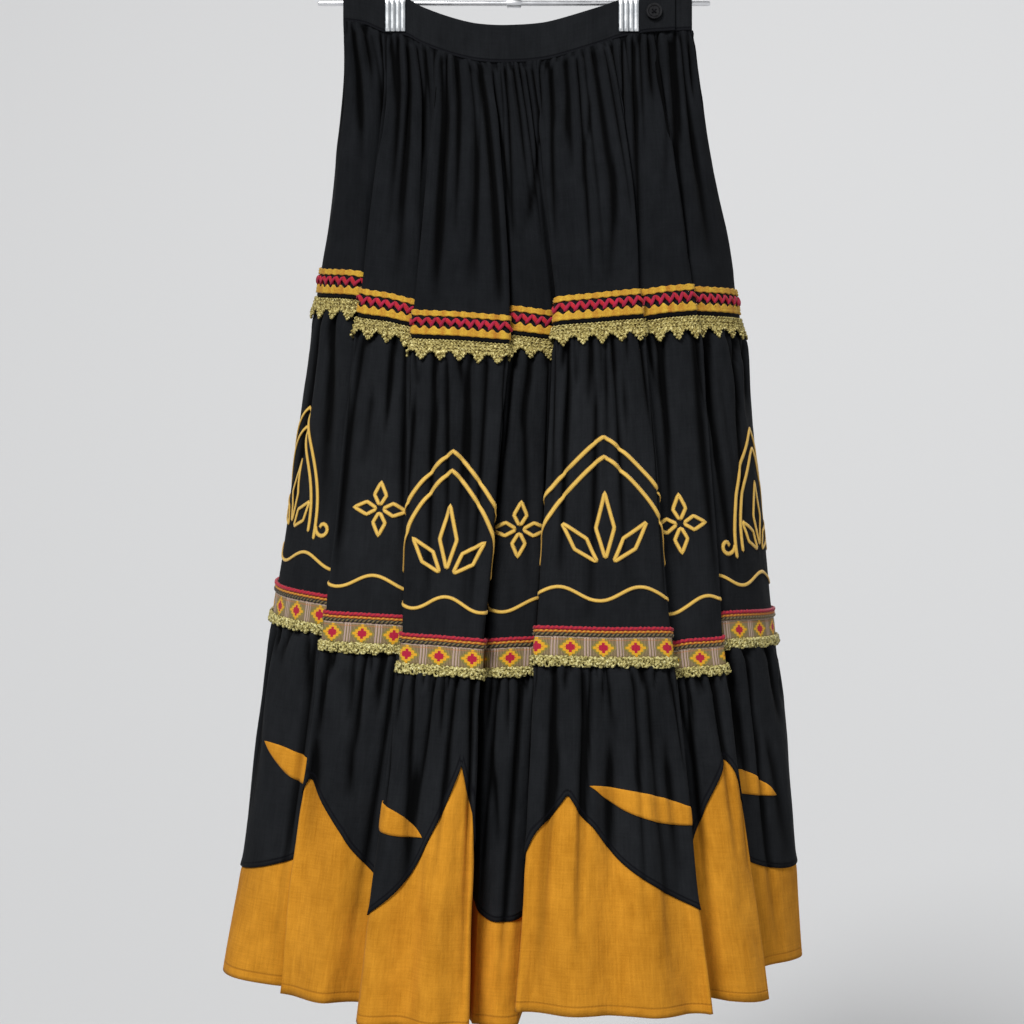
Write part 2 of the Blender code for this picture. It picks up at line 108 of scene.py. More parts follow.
pale_paint = bpy.data.materials.new("pale studio paint")
pale_paint.use_nodes = True
paint_inputs = pale_paint.node_tree.nodes["Principled BSDF"].inputs
paint_inputs["Base Color"].default_value = (0.675, 0.678, 0.683, 1)
paint_inputs["Roughness"].default_value = 0.95
paint_inputs["Specular IOR Level"].default_value = 0.1
FLOOR_Z, FLAT_REACH, RISE_RADIUS = -1.4, 1.0, 5.2
bowl = bmesh.new()
rim = [bowl.verts.new((0, 0, FLOOR_Z))]
for turn in range(0, 91, 6):
    lean = math.radians(turn)
    rim.append(bowl.verts.new((FLAT_REACH + RISE_RADIUS * math.sin(lean), 0,
                               FLOOR_Z + RISE_RADIUS * (1 - math.cos(lean)))))
sweep = [bowl.edges.new(pair) for pair in zip(rim, rim[1:])]
bmesh.ops.spin(bowl, geom=rim + sweep, axis=(0, 0, 1), cent=(0, 0, 0), steps=96, angle=2 * math.pi,
               use_merge=True)
bmesh.ops.remove_doubles(bowl, verts=bowl.verts, dist=1e-4)
bmesh.ops.recalc_face_normals(bowl, faces=bowl.faces)
bmesh.ops.reverse_faces(bowl, faces=bowl.faces)
floor = finish_mesh("studio_floor", bowl, [pale_paint])
floor.visible_shadow = False
floor.visible_diffuse = False
sun_light("key", (-1.5, -2.7, 2.5), 2.55, 22)
sun_light("fill", (2.6, -2.4, 0.6), 0.70, 60)
sun_light("back", (0.5, 3.0, 1.3), 1.9, 60)
world = bpy.data.worlds.new("studio air")
world.use_nodes = True
world.node_tree.nodes["Background"].inputs[0].default_value = (0.97, 0.98, 1.0, 1)
world.node_tree.nodes["Background"].inputs[1].default_value = 0.17
bpy.context.scene.world = world
bpy.context.scene.view_settings.view_transform = "Standard"
print("floor faces:", len(floor.data.polygons))

# %% [markdown]
# ## The form of the skirt
# A hung skirt is an oval tube whose wall swings out and in as deep folds. The tables here
# are the ones that shaped the solids: half the depth of the flattened waist, the droop of
# the waist seam between the clips, the oval at each level, and every fold with its hang.

# %% Tables of the form
BAR_Z = -95 * MM
BAND_Y = -8 * MM
WAIST_END_RADIUS = 3.6
BAND_HEIGHT = 36 * MM
UPPER_SEAM = 288
LOWER_SEAM = 586
HEM = 905
WAIST_DEPTHS = ((-1, 3.6), (-0.93, 3.6), (-0.82, 1.5), (-0.59, 1.5), (-0.4, 5), (0, 9), (0.36, 5),
                (0.53, 1.5), (0.84, 1.5), (0.93, 3.4), (1, 3.6))
WAIST_SEAM = ((-1, 20), (-0.88, 23), (-0.77, 30.3), (-0.64, 33.8), (-0.55, 42), (-0.38, 53),
              (-0.22, 59.5), (-0.03, 61), (0.14, 58.5), (0.26, 53.5), (0.48, 41.5), (0.58, 35.5),
              (0.7, 31.5), (1, 28.5))
# Drop, middle, half width, front reach, back reach, depth of the folds
LEVELS = ((0, 3.4, 167.3, 9, 9, 0), (60, 8, 172, 32, 25, 4), (250, 13.6, 203, 85, 62, 20),
          (555, 10.2, 245, 135, 95, 36), (905, -2.4, 288, 175, 118, 54))
# First angle, columns, reach at both ends, overhang at both ends (share of the width),
# ripples, then the hang at both ends for the braid, the ribbon and the hem
FOLDS = (
    (-22.0, 10, 0.85, 0.66, -0.03, -0.05, 2, 254, 268, 552, 571, 922, 928),
    (36.9, 8, 1.02, 0.70, 0.13, -0.06, 2, 283, 298, 583, 588, 930, 934),
    (58.0, 12, 1.12, 1.10, 0.10, 0.055, 3, 306, 313, 601, 607, 944, 950),
    (83.4, 6, 0.50, 0.50, -0.10, -0.10, 1, 303, 307, 608, 605, 950, 948),
    (92.3, 16, 1.20, 1.20, 0.045, 0.08, 4, 297, 287, 595, 598, 930, 940),
    (126.9, 8, 0.70, 1.00, -0.08, 0.16, 2, 288, 280, 612, 606, 931, 939),
    (145.1, 10, 0.66, 0.85, -0.05, -0.03, 2, 282, 280, 586, 584, 917, 914),
    (196.0, 6, 0.80, 0.72, 0.06, -0.05, 1, 284, 289, 588, 592, 926, 934),
    (222.0, 6, 1.05, 1.00, 0.10, 0.10, 1, 294, 298, 596, 599, 936, 943),
    (246.0, 8, 0.72, 0.80, -0.05, -0.05, 2, 304, 307, 603, 600, 945, 941),
    (281.0, 6, 1.08, 1.05, 0.10, 0.09, 1, 302, 296, 598, 593, 940, 935),
    (305.0, 6, 0.74, 0.86, -0.05, 0.05, 1, 286, 270, 586, 566, 932, 925),
)
# How far each fold's left edge drifts round, in degrees, at the braid, the ribbon and the hem
DRIFT = ((0, 0, 0), (3, 5.5, 5.5), (1.4, 6, 3.6), (0.2, -3.8, -2.8), (5.7, 1.2, 0.3),
         (-7.5, -6, -0.8), (-7, -8, 0)) + ((0, 0, 0),) * 5
COLUMNS = sum(fold[1] for fold in FOLDS)
RIPPLE = ((0, 0), (586, 0), (655, 3.0), (905, 7.5))
GATHERED = ((0, 0.6), (18, 1.6), (70, 0.9), (160, 0.35), (252, 0), (288, 0), (305, 2.3), (355, 1.1),
            (450, 0.3), (552, 0), (586, 0), (606, 2.4), (655, 1.3), (905, 0))
print("columns round the skirt:", COLUMNS)

# %% [markdown]
# ## Reading the form
# `curved` runs a smooth line through a table, and `calm` is the whole skirt before any
# small gather: a lattice of points round and down, with the way out from the cloth at
# each. Every later piece is laid on this lattice, so nothing floats and nothing is traced.


# %% Smooth reading of a table
def straight(rows, where, column=1):
    return np.interp(where, [row[0] for row in rows], [row[column] for row in rows])


def curved(rows, where, column=1):
    at = np.array([row[0] for row in rows], float)
    value = np.array([row[column] for row in rows], float)
    slope = np.gradient(value, at)
    slope[1:-1] = (value[2:] - value[:-2]) / (at[2:] - at[:-2])
    where = np.clip(where, at[0], at[-1])
    low = np.clip(np.searchsorted(at, where) - 1, 0, len(at) - 2)
    span = at[low + 1] - at[low]
    share = (where - at[low]) / span
    rise = 3 * share ** 2 - 2 * share ** 3
    start = (share - 2 * share ** 2 + share ** 3) * span * slope[low]
    end = (share ** 3 - share ** 2) * span * slope[low + 1]
    return value[low] + (value[low + 1] - value[low]) * rise + start + end


def hang_round(places, column):
    """Hang of every panel from its left to its right end; it steps where one fold hides it."""
    first, rows = 0, []
    for index, fold in enumerate(FOLDS):
        before = FOLDS[index - 1][column + 1]
        rows += [(first, (before + fold[column]) / 2), (first + 0.17 * fold[1], fold[column]),
                 (first + 0.5 * fold[1], (fold[column] + fold[column + 1]) / 2),
                 (first + 0.83 * fold[1], fold[column + 1])]
        first += fold[1]
    return curved(rows + [(first, rows[0][1])], places)


def half_fold(share, over):
    """Along and out of half a fold: up from the valley, past its end, then its flat panel."""
    if over > 0:
        rows = ((0, 0, 0), (0.04, 0.02, 0.02), (0.08, 0.045, 0.36), (0.115, 0.01, 0.68), (0.155, -over, 0.83),
                (0.19, 0.008 - over, 0.94), (0.25, 0.07 - over, 0.985), (0.5, 0.5, 1.0), (0.6, 0.6, 1.0))
    else:
        rows = ((0, 0, 0), (0.05, 0.01, 0.06), (0.11, -over * 0.6, 0.42), (0.16, -over, 0.78),
                (0.19, 0.015 - over, 0.92), (0.25, 0.07 - over, 0.985), (0.5, 0.5, 1.0), (0.6, 0.6, 1.0))
    return curved(rows, share, 1), curved(rows, share, 2)


def waist_half(share):
    edge = np.minimum((1 - np.abs(share)) * LEVELS[0][2] / WAIST_END_RADIUS, 1)
    return straight(WAIST_DEPTHS, share) * np.sqrt(1 - (1 - edge) ** 2)


print("waist is", 2 * waist_half(np.array([0.0]))[0], "mm deep at its middle")


# %% The calm skirt
def calm_row(places, drop):
    """One ring of the skirt in millimetres, folds and ripples but no gathers."""
    grown = curved(LEVELS, drop, 5)
    turn, push = np.empty_like(places), np.empty_like(places)
    first = 0
    opening = min(1, grown / 54 * 2.4) ** 0.6
    starts = [fold[0] + straight(((0, 0), (250, drift[0]), (570, drift[1]), (905, drift[2])), drop)
              for fold, drift in zip(FOLDS, DRIFT)]
    for index, (fold, start, end) in enumerate(zip(FOLDS, starts, starts[1:] + [starts[0] + 360])):
        inside = (places >= first) & (places < first + fold[1])
        share = (places[inside] - first) / fold[1]
        left_along, left_out = half_fold(np.minimum(share, 0.5), fold[4])
        right_along, right_out = half_fold(np.minimum(1 - share, 0.5), fold[5])
        along = np.where(share < 0.5, left_along, 1 - right_along)
        turn[inside] = start + (end - start) * (share + (along - share) * opening)
        tilt = 0.5 - 0.5 * np.cos(np.pi * share)
        reach = fold[2] + (fold[3] - fold[2]) * tilt
        wave = np.sin(2 * np.pi * (fold[6] * share + 0.21 * index)) * np.sin(np.pi * share)
        push[inside] = grown * (reach * np.where(share < 0.5, left_out, right_out) - 0.5)
        push[inside] += straight(RIPPLE, drop) * wave
        first += fold[1]
    push += straight(GATHERED, drop)
    angle = np.radians(turn)
    side = np.where(np.sin(angle) > 0, 1, -1)
    half = curved(LEVELS, drop, 2) - grown / 2
    reach = np.where(side > 0, curved(LEVELS, drop, 3), curved(LEVELS, drop, 4)) - grown / 2
    opened = min(1.0, drop / 150) ** 0.7
    depth = waist_half(-np.cos(angle)) * side * (1 - opened) + reach * np.sin(angle) * opened
    normal = np.stack((-reach * np.cos(angle), -half * np.sin(angle)), 1)
    normal /= np.linalg.norm(normal, axis=1)[:, None]
    below = [curved(WAIST_SEAM, -np.cos(angle)), hang_round(places, 7), hang_round(places, 9),
             hang_round(places, 11)]
    marks = (0, 253, 553, HEM)
    level = min(np.searchsorted(marks, drop, side="right") - 1, 2)
    part = (drop - marks[level]) / (marks[level + 1] - marks[level])
    height = -below[level] * (1 - part) - below[level + 1] * part
    x = curved(LEVELS, drop, 1) - half * np.cos(angle) + normal[:, 0] * push
    y = BAND_Y / MM - depth + normal[:, 1] * push
    return np.stack((x, y, BAR_Z / MM + height), 1)


FINE = 8
ROUND = np.arange(COLUMNS * FINE) / FINE
DROP_STEP = 2.5
DROPS = np.arange(0, HEM + 0.1, DROP_STEP)
calm = np.stack([calm_row(ROUND, drop) for drop in DROPS]) * MM
along_row = np.roll(calm, -1, 1) - np.roll(calm, 1, 1)
down_row = np.gradient(calm, axis=0)
calm_out = np.cross(down_row, along_row)
calm_out /= np.linalg.norm(calm_out, axis=2)[:, :, None]
steps_round = np.linalg.norm(np.roll(calm, -1, 1) - calm, axis=2)
arc = np.concatenate((np.zeros((len(DROPS), 1)), np.cumsum(steps_round, 1)), 1)
print("cloth round the skirt (m):", [round(row[-1], 3) for row in arc[::60]])


# %% Points on the calm skirt
def read_lattice(table, place, drop):
    place = np.mod(place, COLUMNS) * FINE
    column = np.floor(place).astype(int) % (COLUMNS * FINE)
    right = (column + 1) % (COLUMNS * FINE)
    across = (place - np.floor(place))[..., None]
    level = np.clip(drop, 0, HEM) / DROP_STEP
    row = np.clip(np.floor(level).astype(int), 0, len(DROPS) - 2)
    down = (level - row)[..., None]
    upper = table[row, column] * (1 - across) + table[row, right] * across
    lower = table[row + 1, column] * (1 - across) + table[row + 1, right] * across
    return upper * (1 - down) + lower * down


def on_skirt(place, drop, out=0.0):
    """Points that stand out from the calm cloth, and the way out there."""
    place, drop, out = np.broadcast_arrays(np.asarray(place, float), drop, out)
    normal = read_lattice(calm_out, place, drop)
    normal /= np.linalg.norm(normal, axis=-1)[..., None]
    return read_lattice(calm, place, drop) + normal * out[..., None] * MM, normal


def ring_length(drop):
    return arc[int(round(drop / DROP_STEP)), -1]


def pitches(drop, pitch):
    """Length of the ring at a drop in metres, and how many pitches in mm go round it."""
    total = ring_length(drop)
    return total, int(round(total / (pitch * MM)))


def length_at(place, drop):
    """Length of cloth along the ring at this drop, up to a column number."""
    return np.interp(place, np.arange(COLUMNS * FINE + 1) / FINE, arc[int(drop / DROP_STEP)])


def place_at(length, drop):
    """Column number at a length of cloth along the ring at this drop."""
    row = arc[int(round(drop / DROP_STEP))]
    return np.interp(np.mod(length, row[-1]), row, np.arange(len(row)) / FINE)


def place_seen(across, under):
    """Column and drop of the front cloth that shows at a pixel of the picture."""
    scale = PICTURE * LENS / SENSOR / (calm[:, :, 1] - CAMERA_AT.y)
    px = PICTURE / 2 + (calm[:, :, 0] - CAMERA_AT.x) * scale
    py = PICTURE / 2 - (calm[:, :, 2] - CAMERA_AT.z) * scale
    miss = np.hypot(px - across, py - under) + 60 * (calm[:, :, 1] - calm[:, :, 1].min()) / 0.18
    miss[calm_out[:, :, 1] > 0.1] += 1e3
    row, column = np.unravel_index(np.argmin(miss), miss.shape)
    return column / FINE, DROPS[row]


print("crease test lands on column", place_seen(409, 160))

# %% [markdown]
# ## Cloth in metres
# `lay_grid` shapes an operator-made grid row by row, and gives it a UV map in metres
# along and down, so weave and stitches keep their true size on every piece. A second map
# holds the distance to a sewn edge. Faces are turned to point away from the body.


# %% Grid helper
def lay_grid(shape, points, along, down, edge=None, crease_shade_mask=None):
    rows, wide = points.shape[:2]
    main = shape.loops.layers.uv.get("cloth") or shape.loops.layers.uv.new("cloth")
    second = None
    if edge is not None:
        second = shape.loops.layers.uv.get("edge") or shape.loops.layers.uv.new("edge")
    if crease_shade_mask is not None:
        # A float layer holds how much painted shade each point takes: 0 in a crease, 1 on a ridge.
        fading_and_crease_shade = shape.verts.layers.float.get("crease_shade_mask") or shape.verts.layers.float.new("crease_shade_mask")
    made = bmesh.ops.create_grid(shape, x_segments=wide - 1, y_segments=rows - 1, size=1)["verts"]
    flat = points.reshape(-1, 3)
    along = np.broadcast_to(along, (rows, wide)).reshape(-1)
    down = np.broadcast_to(down, (rows, wide)).reshape(-1)
    for vert, where, u, v in zip(made, flat, along, down):
        vert.co = where
        for loop in vert.link_loops:
            loop[main].uv = (u, v)
    if second is not None:
        edge = np.broadcast_to(edge, (rows, wide)).reshape(-1)
        for vert, u, v in zip(made, along, edge):
            for loop in vert.link_loops:
                loop[second].uv = (u, v)
    if crease_shade_mask is not None:
        for vert, value in zip(made, np.broadcast_to(crease_shade_mask, (rows, wide)).reshape(-1)):
            vert[fading_and_crease_shade] = value
    bmesh.ops.reverse_faces(shape, faces=list({face for vert in made for face in vert.link_faces}))
    return made


def close_seams(shape):
    bmesh.ops.remove_doubles(shape, verts=shape.verts, dist=2e-6)


def thread(shape, centres, out, wide, high, sides=6, lobes=0, lay=0.0, tones=0.0):
    """A cord laid along points; lobes and lay twist its strands."""
    step = np.gradient(centres, axis=0)
    ahead = step / np.linalg.norm(step, axis=1)[:, None]
    across = np.cross(ahead, out)
    across /= np.linalg.norm(across, axis=1)[:, None]
    up = np.cross(across, ahead)
    run = np.concatenate(([0], np.cumsum(np.linalg.norm(np.diff(centres, axis=0), axis=1))))
    angle = np.linspace(0, 2 * math.pi, sides + 1)[:, None]
    size = np.ones((1, len(centres)))
    if lobes:
        size = 1 + 0.24 * np.cos(lobes * (angle - 2 * math.pi * run[None, :] / lay))
    wide = np.broadcast_to(wide, len(centres))[None, :] * size * MM / 2
    high = np.broadcast_to(high, len(centres))[None, :] * size * MM / 2
    points = (centres[None] + (np.cos(angle) * wide)[..., None] * across[None]
              + (np.sin(angle) * high)[..., None] * up[None])
    lay_grid(shape, points, run[None, :], np.linspace(0, 1, sides + 1)[:, None] + tones)


# %% [markdown]
# ## Gathers and creases
# Cloth sewn to a shorter edge bunches into small gathers that die away below the seam,
# and between them it hangs flat with a few long creases. Each crease is a soft trough
# with its own place, length, depth and width. The chief ones in front are placed as they
# show, and a seeded set fills in between them and goes round the sides and back.


# %% Crease tables
# Pixel across and down at both ends, depth and width in mm
FRONT_CREASES = (
    (372, 34, 364, 255, 2.6, 3.2), (382, 42, 369, 216, 2.0, 2.4), (409, 46, 397, 285, 3.4, 3.0),
    (425, 58, 419, 235, 2.2, 2.4), (450, 77, 433, 285, 3.6, 3.2), (478, 73, 466, 300, 2.6, 3.0),
    (492, 80, 515, 245, 3.4, 3.2), (543, 80, 517, 245, 3.2, 3.4), (508, 80, 520, 166, 1.8, 2.2),
    (568, 77, 565, 148, 2.4, 2.2), (592, 80, 580, 196, 2.6, 2.6), (611, 48, 631, 155, 2.8, 2.4),
    (613, 138, 609, 285, 2.6, 3.0), (637, 72, 636, 160, 3.4, 2.6), (660, 60, 664, 190, 2.2, 2.6),
    (678, 74, 690, 280, 3.0, 3.0), (688, 100, 700, 190, 2.2, 2.6), (341, 40, 338, 160, 1.8, 2.6),
    (330, 330, 322, 520, 2.6, 3.4), (352, 345, 336, 600, 2.2, 3.0), (378, 355, 360, 480, 2.8, 3.2),
    (418, 372, 402, 560, 3.0, 3.6), (441, 372, 430, 470, 2.6, 3.0), (470, 378, 462, 640, 2.4, 3.6),
    (499, 380, 503, 500, 3.0, 3.2), (523, 374, 528, 590, 2.2, 3.4), (572, 362, 560, 470, 3.2, 3.2),
    (596, 358, 588, 640, 2.6, 3.6), (622, 352, 628, 455, 2.8, 3.0), (664, 350, 672, 560, 2.4, 3.2),
    (698, 345, 722, 470, 2.8, 3.0), (716, 342, 748, 590, 2.2, 3.2),
    (262, 690, 240, 820, 3.0, 4.0), (318, 712, 306, 860, 3.4, 4.4), (352, 720, 348, 800, 3.0, 3.4),
    (420, 738, 404, 900, 3.6, 4.4), (450, 738, 446, 800, 3.2, 3.6), (492, 732, 500, 860, 3.2, 4.0),
    (560, 722, 552, 830, 3.0, 3.6), (610, 722, 606, 900, 3.4, 4.6), (640, 722, 634, 800, 3.2, 3.6),
    (664, 724, 676, 880, 3.4, 4.2), (728, 712, 752, 800, 3.0, 3.6), (758, 706, 790, 860, 2.8, 4.0),
)


def long_pleats(seed, top, foot, count, depth, first=0, last=COLUMNS):
    """Long soft pleats with their own places, lengths, leans, depths and widths."""
    pick = random.Random(seed)
    rows = []
    for number in range(count):
        place = first + (last - first) * (number + pick.uniform(0.05, 0.95)) / count
        start = top + pick.uniform(0, 8)
        length = (foot - top) * pick.choice((0.3, 0.5, 0.7, 0.9, 1.1)) * pick.uniform(0.8, 1.1)
        lean = pick.uniform(-0.9, 0.9)
        rows.append((place, start, place + lean, min(foot, start + length),
                     depth * pick.uniform(0.45, 1.0), pick.uniform(1.9, 3.4)))
    return rows


def small_gathers(seed, top, count, reach, height):
    """Short pinches right under a seam, each dying away over its own length."""
    pick = random.Random(seed)
    rows = []
    for number in range(count):
        place = COLUMNS * (number + pick.uniform(-0.36, 0.36)) / count
        length = reach * pick.choice((0.35, 0.6, 1.0, 1.5)) * pick.uniform(0.7, 1.2)
        rows.append((place, top, place + pick.uniform(-0.4, 0.4), top + length,
                     height * pick.uniform(0.5, 1.0), pick.uniform(1.7, 2.8)))
    return rows


CREASE_GAIN, SEAM_REACH = 1.75, 14
creases = []
for left, high, right, low, depth, width in FRONT_CREASES:
    above, below = place_seen(left, high), place_seen(right, low)
    creases.append((above[0], above[1], below[0], below[1], depth * CREASE_GAIN, width))
print("front creases:", len(creases), "first lands at", [round(value, 1) for value in creases[0]])


# %% Cloth of one tier
def soft_field(down, across, down_count, round_count, seed):
    """Slow random swell, closed round the skirt; down and across run from 0 to 1."""
    pick = np.random.RandomState(seed)
    coarse = pick.uniform(-1, 1, (down_count + 1, round_count))
    coarse = np.concatenate((coarse, coarse[:, :1]), 1)
    down, across = np.clip(down, 0, 1) * down_count, across * round_count
    low = np.clip(down.astype(int), 0, down_count - 1)
    left = np.clip(across.astype(int), 0, round_count - 1)
    fall = 0.5 - 0.5 * np.cos(np.pi * (down - low))
    side = 0.5 - 0.5 * np.cos(np.pi * (across - left))
    top = coarse[low, left] * (1 - side) + coarse[low, left + 1] * side
    foot = coarse[low + 1, left] * (1 - side) + coarse[low + 1, left + 1] * side
    return top * (1 - fall) + foot * fall


def press_creases(lift, places, drops, rows):
    """Sink each crease into the cloth as a narrow trough with broad soft shoulders."""
    per_column = np.interp(drops, (0, 288, 586, 905), (6.8, 9.4, 13.0, 18.0))
    for place, start, end_place, end, depth, width in rows:
        share = (drops - start) / max(end - start, 1)
        sewn = min(abs(start - seam) for seam in (0, UPPER_SEAM, LOWER_SEAM)) < SEAM_REACH
        below = drops - start
        fade = np.clip(below / 6 + 0.4, 0, 1) if sewn else np.clip(below / 45, 0, 1) ** 1.5
        fade = fade * np.clip((1 - share) / 0.6, 0, 1) ** 0.8
        centre = place + (end_place - place) * np.clip(share, 0, 1)
        away = np.abs(np.mod(places - centre + COLUMNS / 2, COLUMNS) - COLUMNS / 2)
        far = away * per_column / (width * (1 + 0.8 * np.clip(share, 0, 1)))
        lift -= depth * fade * (np.exp(-far ** 1.4) - 0.36 * np.exp(-(far / 2.6) ** 2))
    return lift


def near_edge(places):
    """How deep inside its own panel a column lies: 0 in the turn of a fold, 1 on its flat."""
    inside, first = np.zeros_like(places), 0
    for fold in FOLDS:
        share = (places - first) / fold[1]
        reach = np.clip((np.minimum(share, 1 - share) - 0.10) / 0.14, 0, 1)
        inside = np.maximum(inside, np.where((share >= 0) & (share <= 1), reach, 0))
        first += fold[1]
    return inside


def tier_lift(wide, drops, top, foot, seed, rows, swell, quiet=2000):
    """How far a tier stands out from the calm skirt, in mm, and how much of that its creases sink."""
    down = (drops - top) / (foot - top)
    lift = swell * soft_field(down, wide / COLUMNS, 3, 68, seed)
    lift += swell * 0.4 * soft_field(down, wide / COLUMNS, 7, 150, seed + 1)
    lift += 4.0 * np.clip((drops - 640) / 265, 0, 1) * soft_field(down, wide / COLUMNS, 2, 40, seed + 2)
    sunk = press_creases(np.zeros(lift.shape), wide, drops, rows)
    shown = 1 - 0.75 * (1 - near_edge(wide)) * np.clip((drops - 70) / 150, 0, 1)
    shown = shown * np.clip((quiet - drops) / 20, 0.12, 1)
    return np.clip(lift + sunk, -np.clip(1.2 + 0.22 * drops, 0, 10), 4.2) * shown, sunk * shown


def tier_points(places, drops, *shaping):
    """Points of a tier, and a share for painted shade: pale on the ridges, painted dark in the creases."""
    wide = np.broadcast_to(places[None, :], drops.shape)
    lift, sunk = tier_lift(wide, drops, *shaping)
    return on_skirt(wide, drops, lift)[0], np.clip((0.85 * sunk + 0.15 * lift + 2.0) / 2.2, 0, 1)


def down_rows(top, foot, count, crowd=1.35):
    """Drops from a seam down, closer together where the gathers are."""
    return top + (foot - top) * np.linspace(0, 1, count) ** crowd


COTTON = 0.9
print("swell test:", round(float(soft_field(np.array(0.3), np.array(0.4), 2, 4, 1)), 2))

# %% [markdown]
# ## Weave
# Both cottons are a slubby plain weave, so one shader group makes the height and tone of
# the threads for each. Thread lines are finer than a pixel here; what the eye sees are the
# uneven slubs that run down and across, and a slow fading of the dye.


# %% Node helpers
class Board:
    """Short way to place and join shader nodes on one tree."""

    def __init__(self, tree):
        self.tree = tree

    def put(self, kind, values=None, **settings):
        node = self.tree.nodes.new(kind)
        for name, value in settings.items():
            setattr(node, name, value)
        for name, value in (values or {}).items():
            socket = node.inputs[name]
            if hasattr(value, "is_output"):
                self.tree.links.new(value, socket)
            else:
                socket.default_value = value
        return node

    def maths(self, operation, first, second=0.0, third=0.0):
        node = self.put("ShaderNodeMath", {0: first, 1: second, 2: third}, operation=operation)
        return node.outputs[0]

    def mix(self, share, first, second, blend="MIX"):
        node = self.put("ShaderNodeMix", {0: share, 6: first, 7: second}, data_type="RGBA", blend_type=blend)
        return node.outputs[2]

    def ramp(self, value, low, high):
        node = self.put("ShaderNodeMapRange", {"Value": value, "From Min": low, "From Max": high})
        return node.outputs[0]

    def noise(self, vector, scale, detail=2.0, rough=0.5):
        node = self.put("ShaderNodeTexNoise", {"Vector": vector, "Scale": scale, "Detail": detail,
                                               "Roughness": rough})
        return node.outputs[0]

    def stretched(self, vector, size):
        return self.put("ShaderNodeMapping", {"Vector": vector, "Scale": size}).outputs[0]

    def plus(self, first, second):
        return self.maths("ADD", first, second)

    def times(self, first, second):
        return self.maths("MULTIPLY", first, second)

    def gap(self, value, middle):
        """How far a value is from a middle."""
        return self.maths("ABSOLUTE", self.maths("SUBTRACT", value, middle))

    def wave(self, value, rate):
        return self.maths("SINE", self.times(value, rate))

    def uv(self, name="cloth"):
        return self.put("ShaderNodeUVMap", uv_map=name).outputs[0]

    def split(self, vector):
        """Along and down, in metres."""
        parts = self.put("ShaderNodeSeparateXYZ", {0: vector})
        return parts.outputs[0], parts.outputs[1]

    def spot(self):
        return self.put("ShaderNodeTexCoord").outputs["Object"]

    def feed(self, node, name, value):
        self.tree.links.new(value, node.inputs[name])

    def relief(self, shader, strength, distance, height):
        bumped = self.put("ShaderNodeBump", {"Strength": strength, "Distance": distance, "Height": height})
        self.feed(shader, "Normal", bumped.outputs[0])


def open_group(name, inputs, outputs):
    group = bpy.data.node_groups.new(name, "ShaderNodeTree")
    for title, kind in inputs:
        group.interface.new_socket(title, in_out="INPUT", socket_type=kind)
    for title, kind in outputs:
        group.interface.new_socket(title, in_out="OUTPUT", socket_type=kind)
    return group, Board(group), group.nodes.new("NodeGroupInput"), group.nodes.new("NodeGroupOutput")


def open_material(name, roughness, sheen=0.0, metallic=0.0, specular=0.5):
    material = bpy.data.materials.new(name)
    material.use_nodes = True
    shader = material.node_tree.nodes["Principled BSDF"]
    shader.inputs["Roughness"].default_value = roughness
    shader.inputs["Sheen Weight"].default_value = sheen
    shader.inputs["Metallic"].default_value = metallic
    shader.inputs["Specular IOR Level"].default_value = specular
    return material, Board(material.node_tree), shader


weave, board, given, result = open_group(
    "slubby weave", (("Where", "NodeSocketVector"),),
    (("Tone", "NodeSocketFloat"), ("Height", "NodeSocketFloat")))
where = given.outputs["Where"]
down_slub = board.noise(board.stretched(where, (540, 30, 1)), 1.0, 3.0, 0.6)
cross_slub = board.noise(board.stretched(where, (36, 620, 1)), 1.0, 3.0, 0.6)
grain = board.noise(board.stretched(where, (1500, 1500, 1)), 1.0, 2.0)
fading_and_crease_shade = board.noise(board.stretched(where, (14, 9, 1)), 1.0, 3.0)
threads = board.plus(down_slub, board.times(cross_slub, 0.7))
threads = board.plus(threads, grain)
crumple = board.noise(board.stretched(where, (95, 42, 1)), 1.0, 3.0, 0.55)
board.feed(result, "Height", board.plus(threads, board.times(crumple, 5.0)))
tone = board.plus(board.times(threads, 0.62), board.times(fading_and_crease_shade, 0.9))
tone = board.plus(tone, board.times(board.maths("SUBTRACT", crumple, 0.6), 0.7))
board.feed(result, "Tone", board.times(tone, 0.55))
print("weave group nodes:", len(weave.nodes))

# %% [markdown]
# ## Black and mustard cotton
# Washed black cotton is a blue charcoal that takes light softly along its folds. Mustard
# cotton shows the slubs far more. A line of stitching runs near every sewn edge: it is
# read from the second UV map, whose height is the distance to that edge. Shade is painted
# into the colour in the creases, along turned edges and in stitch grooves, and the black
# is made darker towards the top.


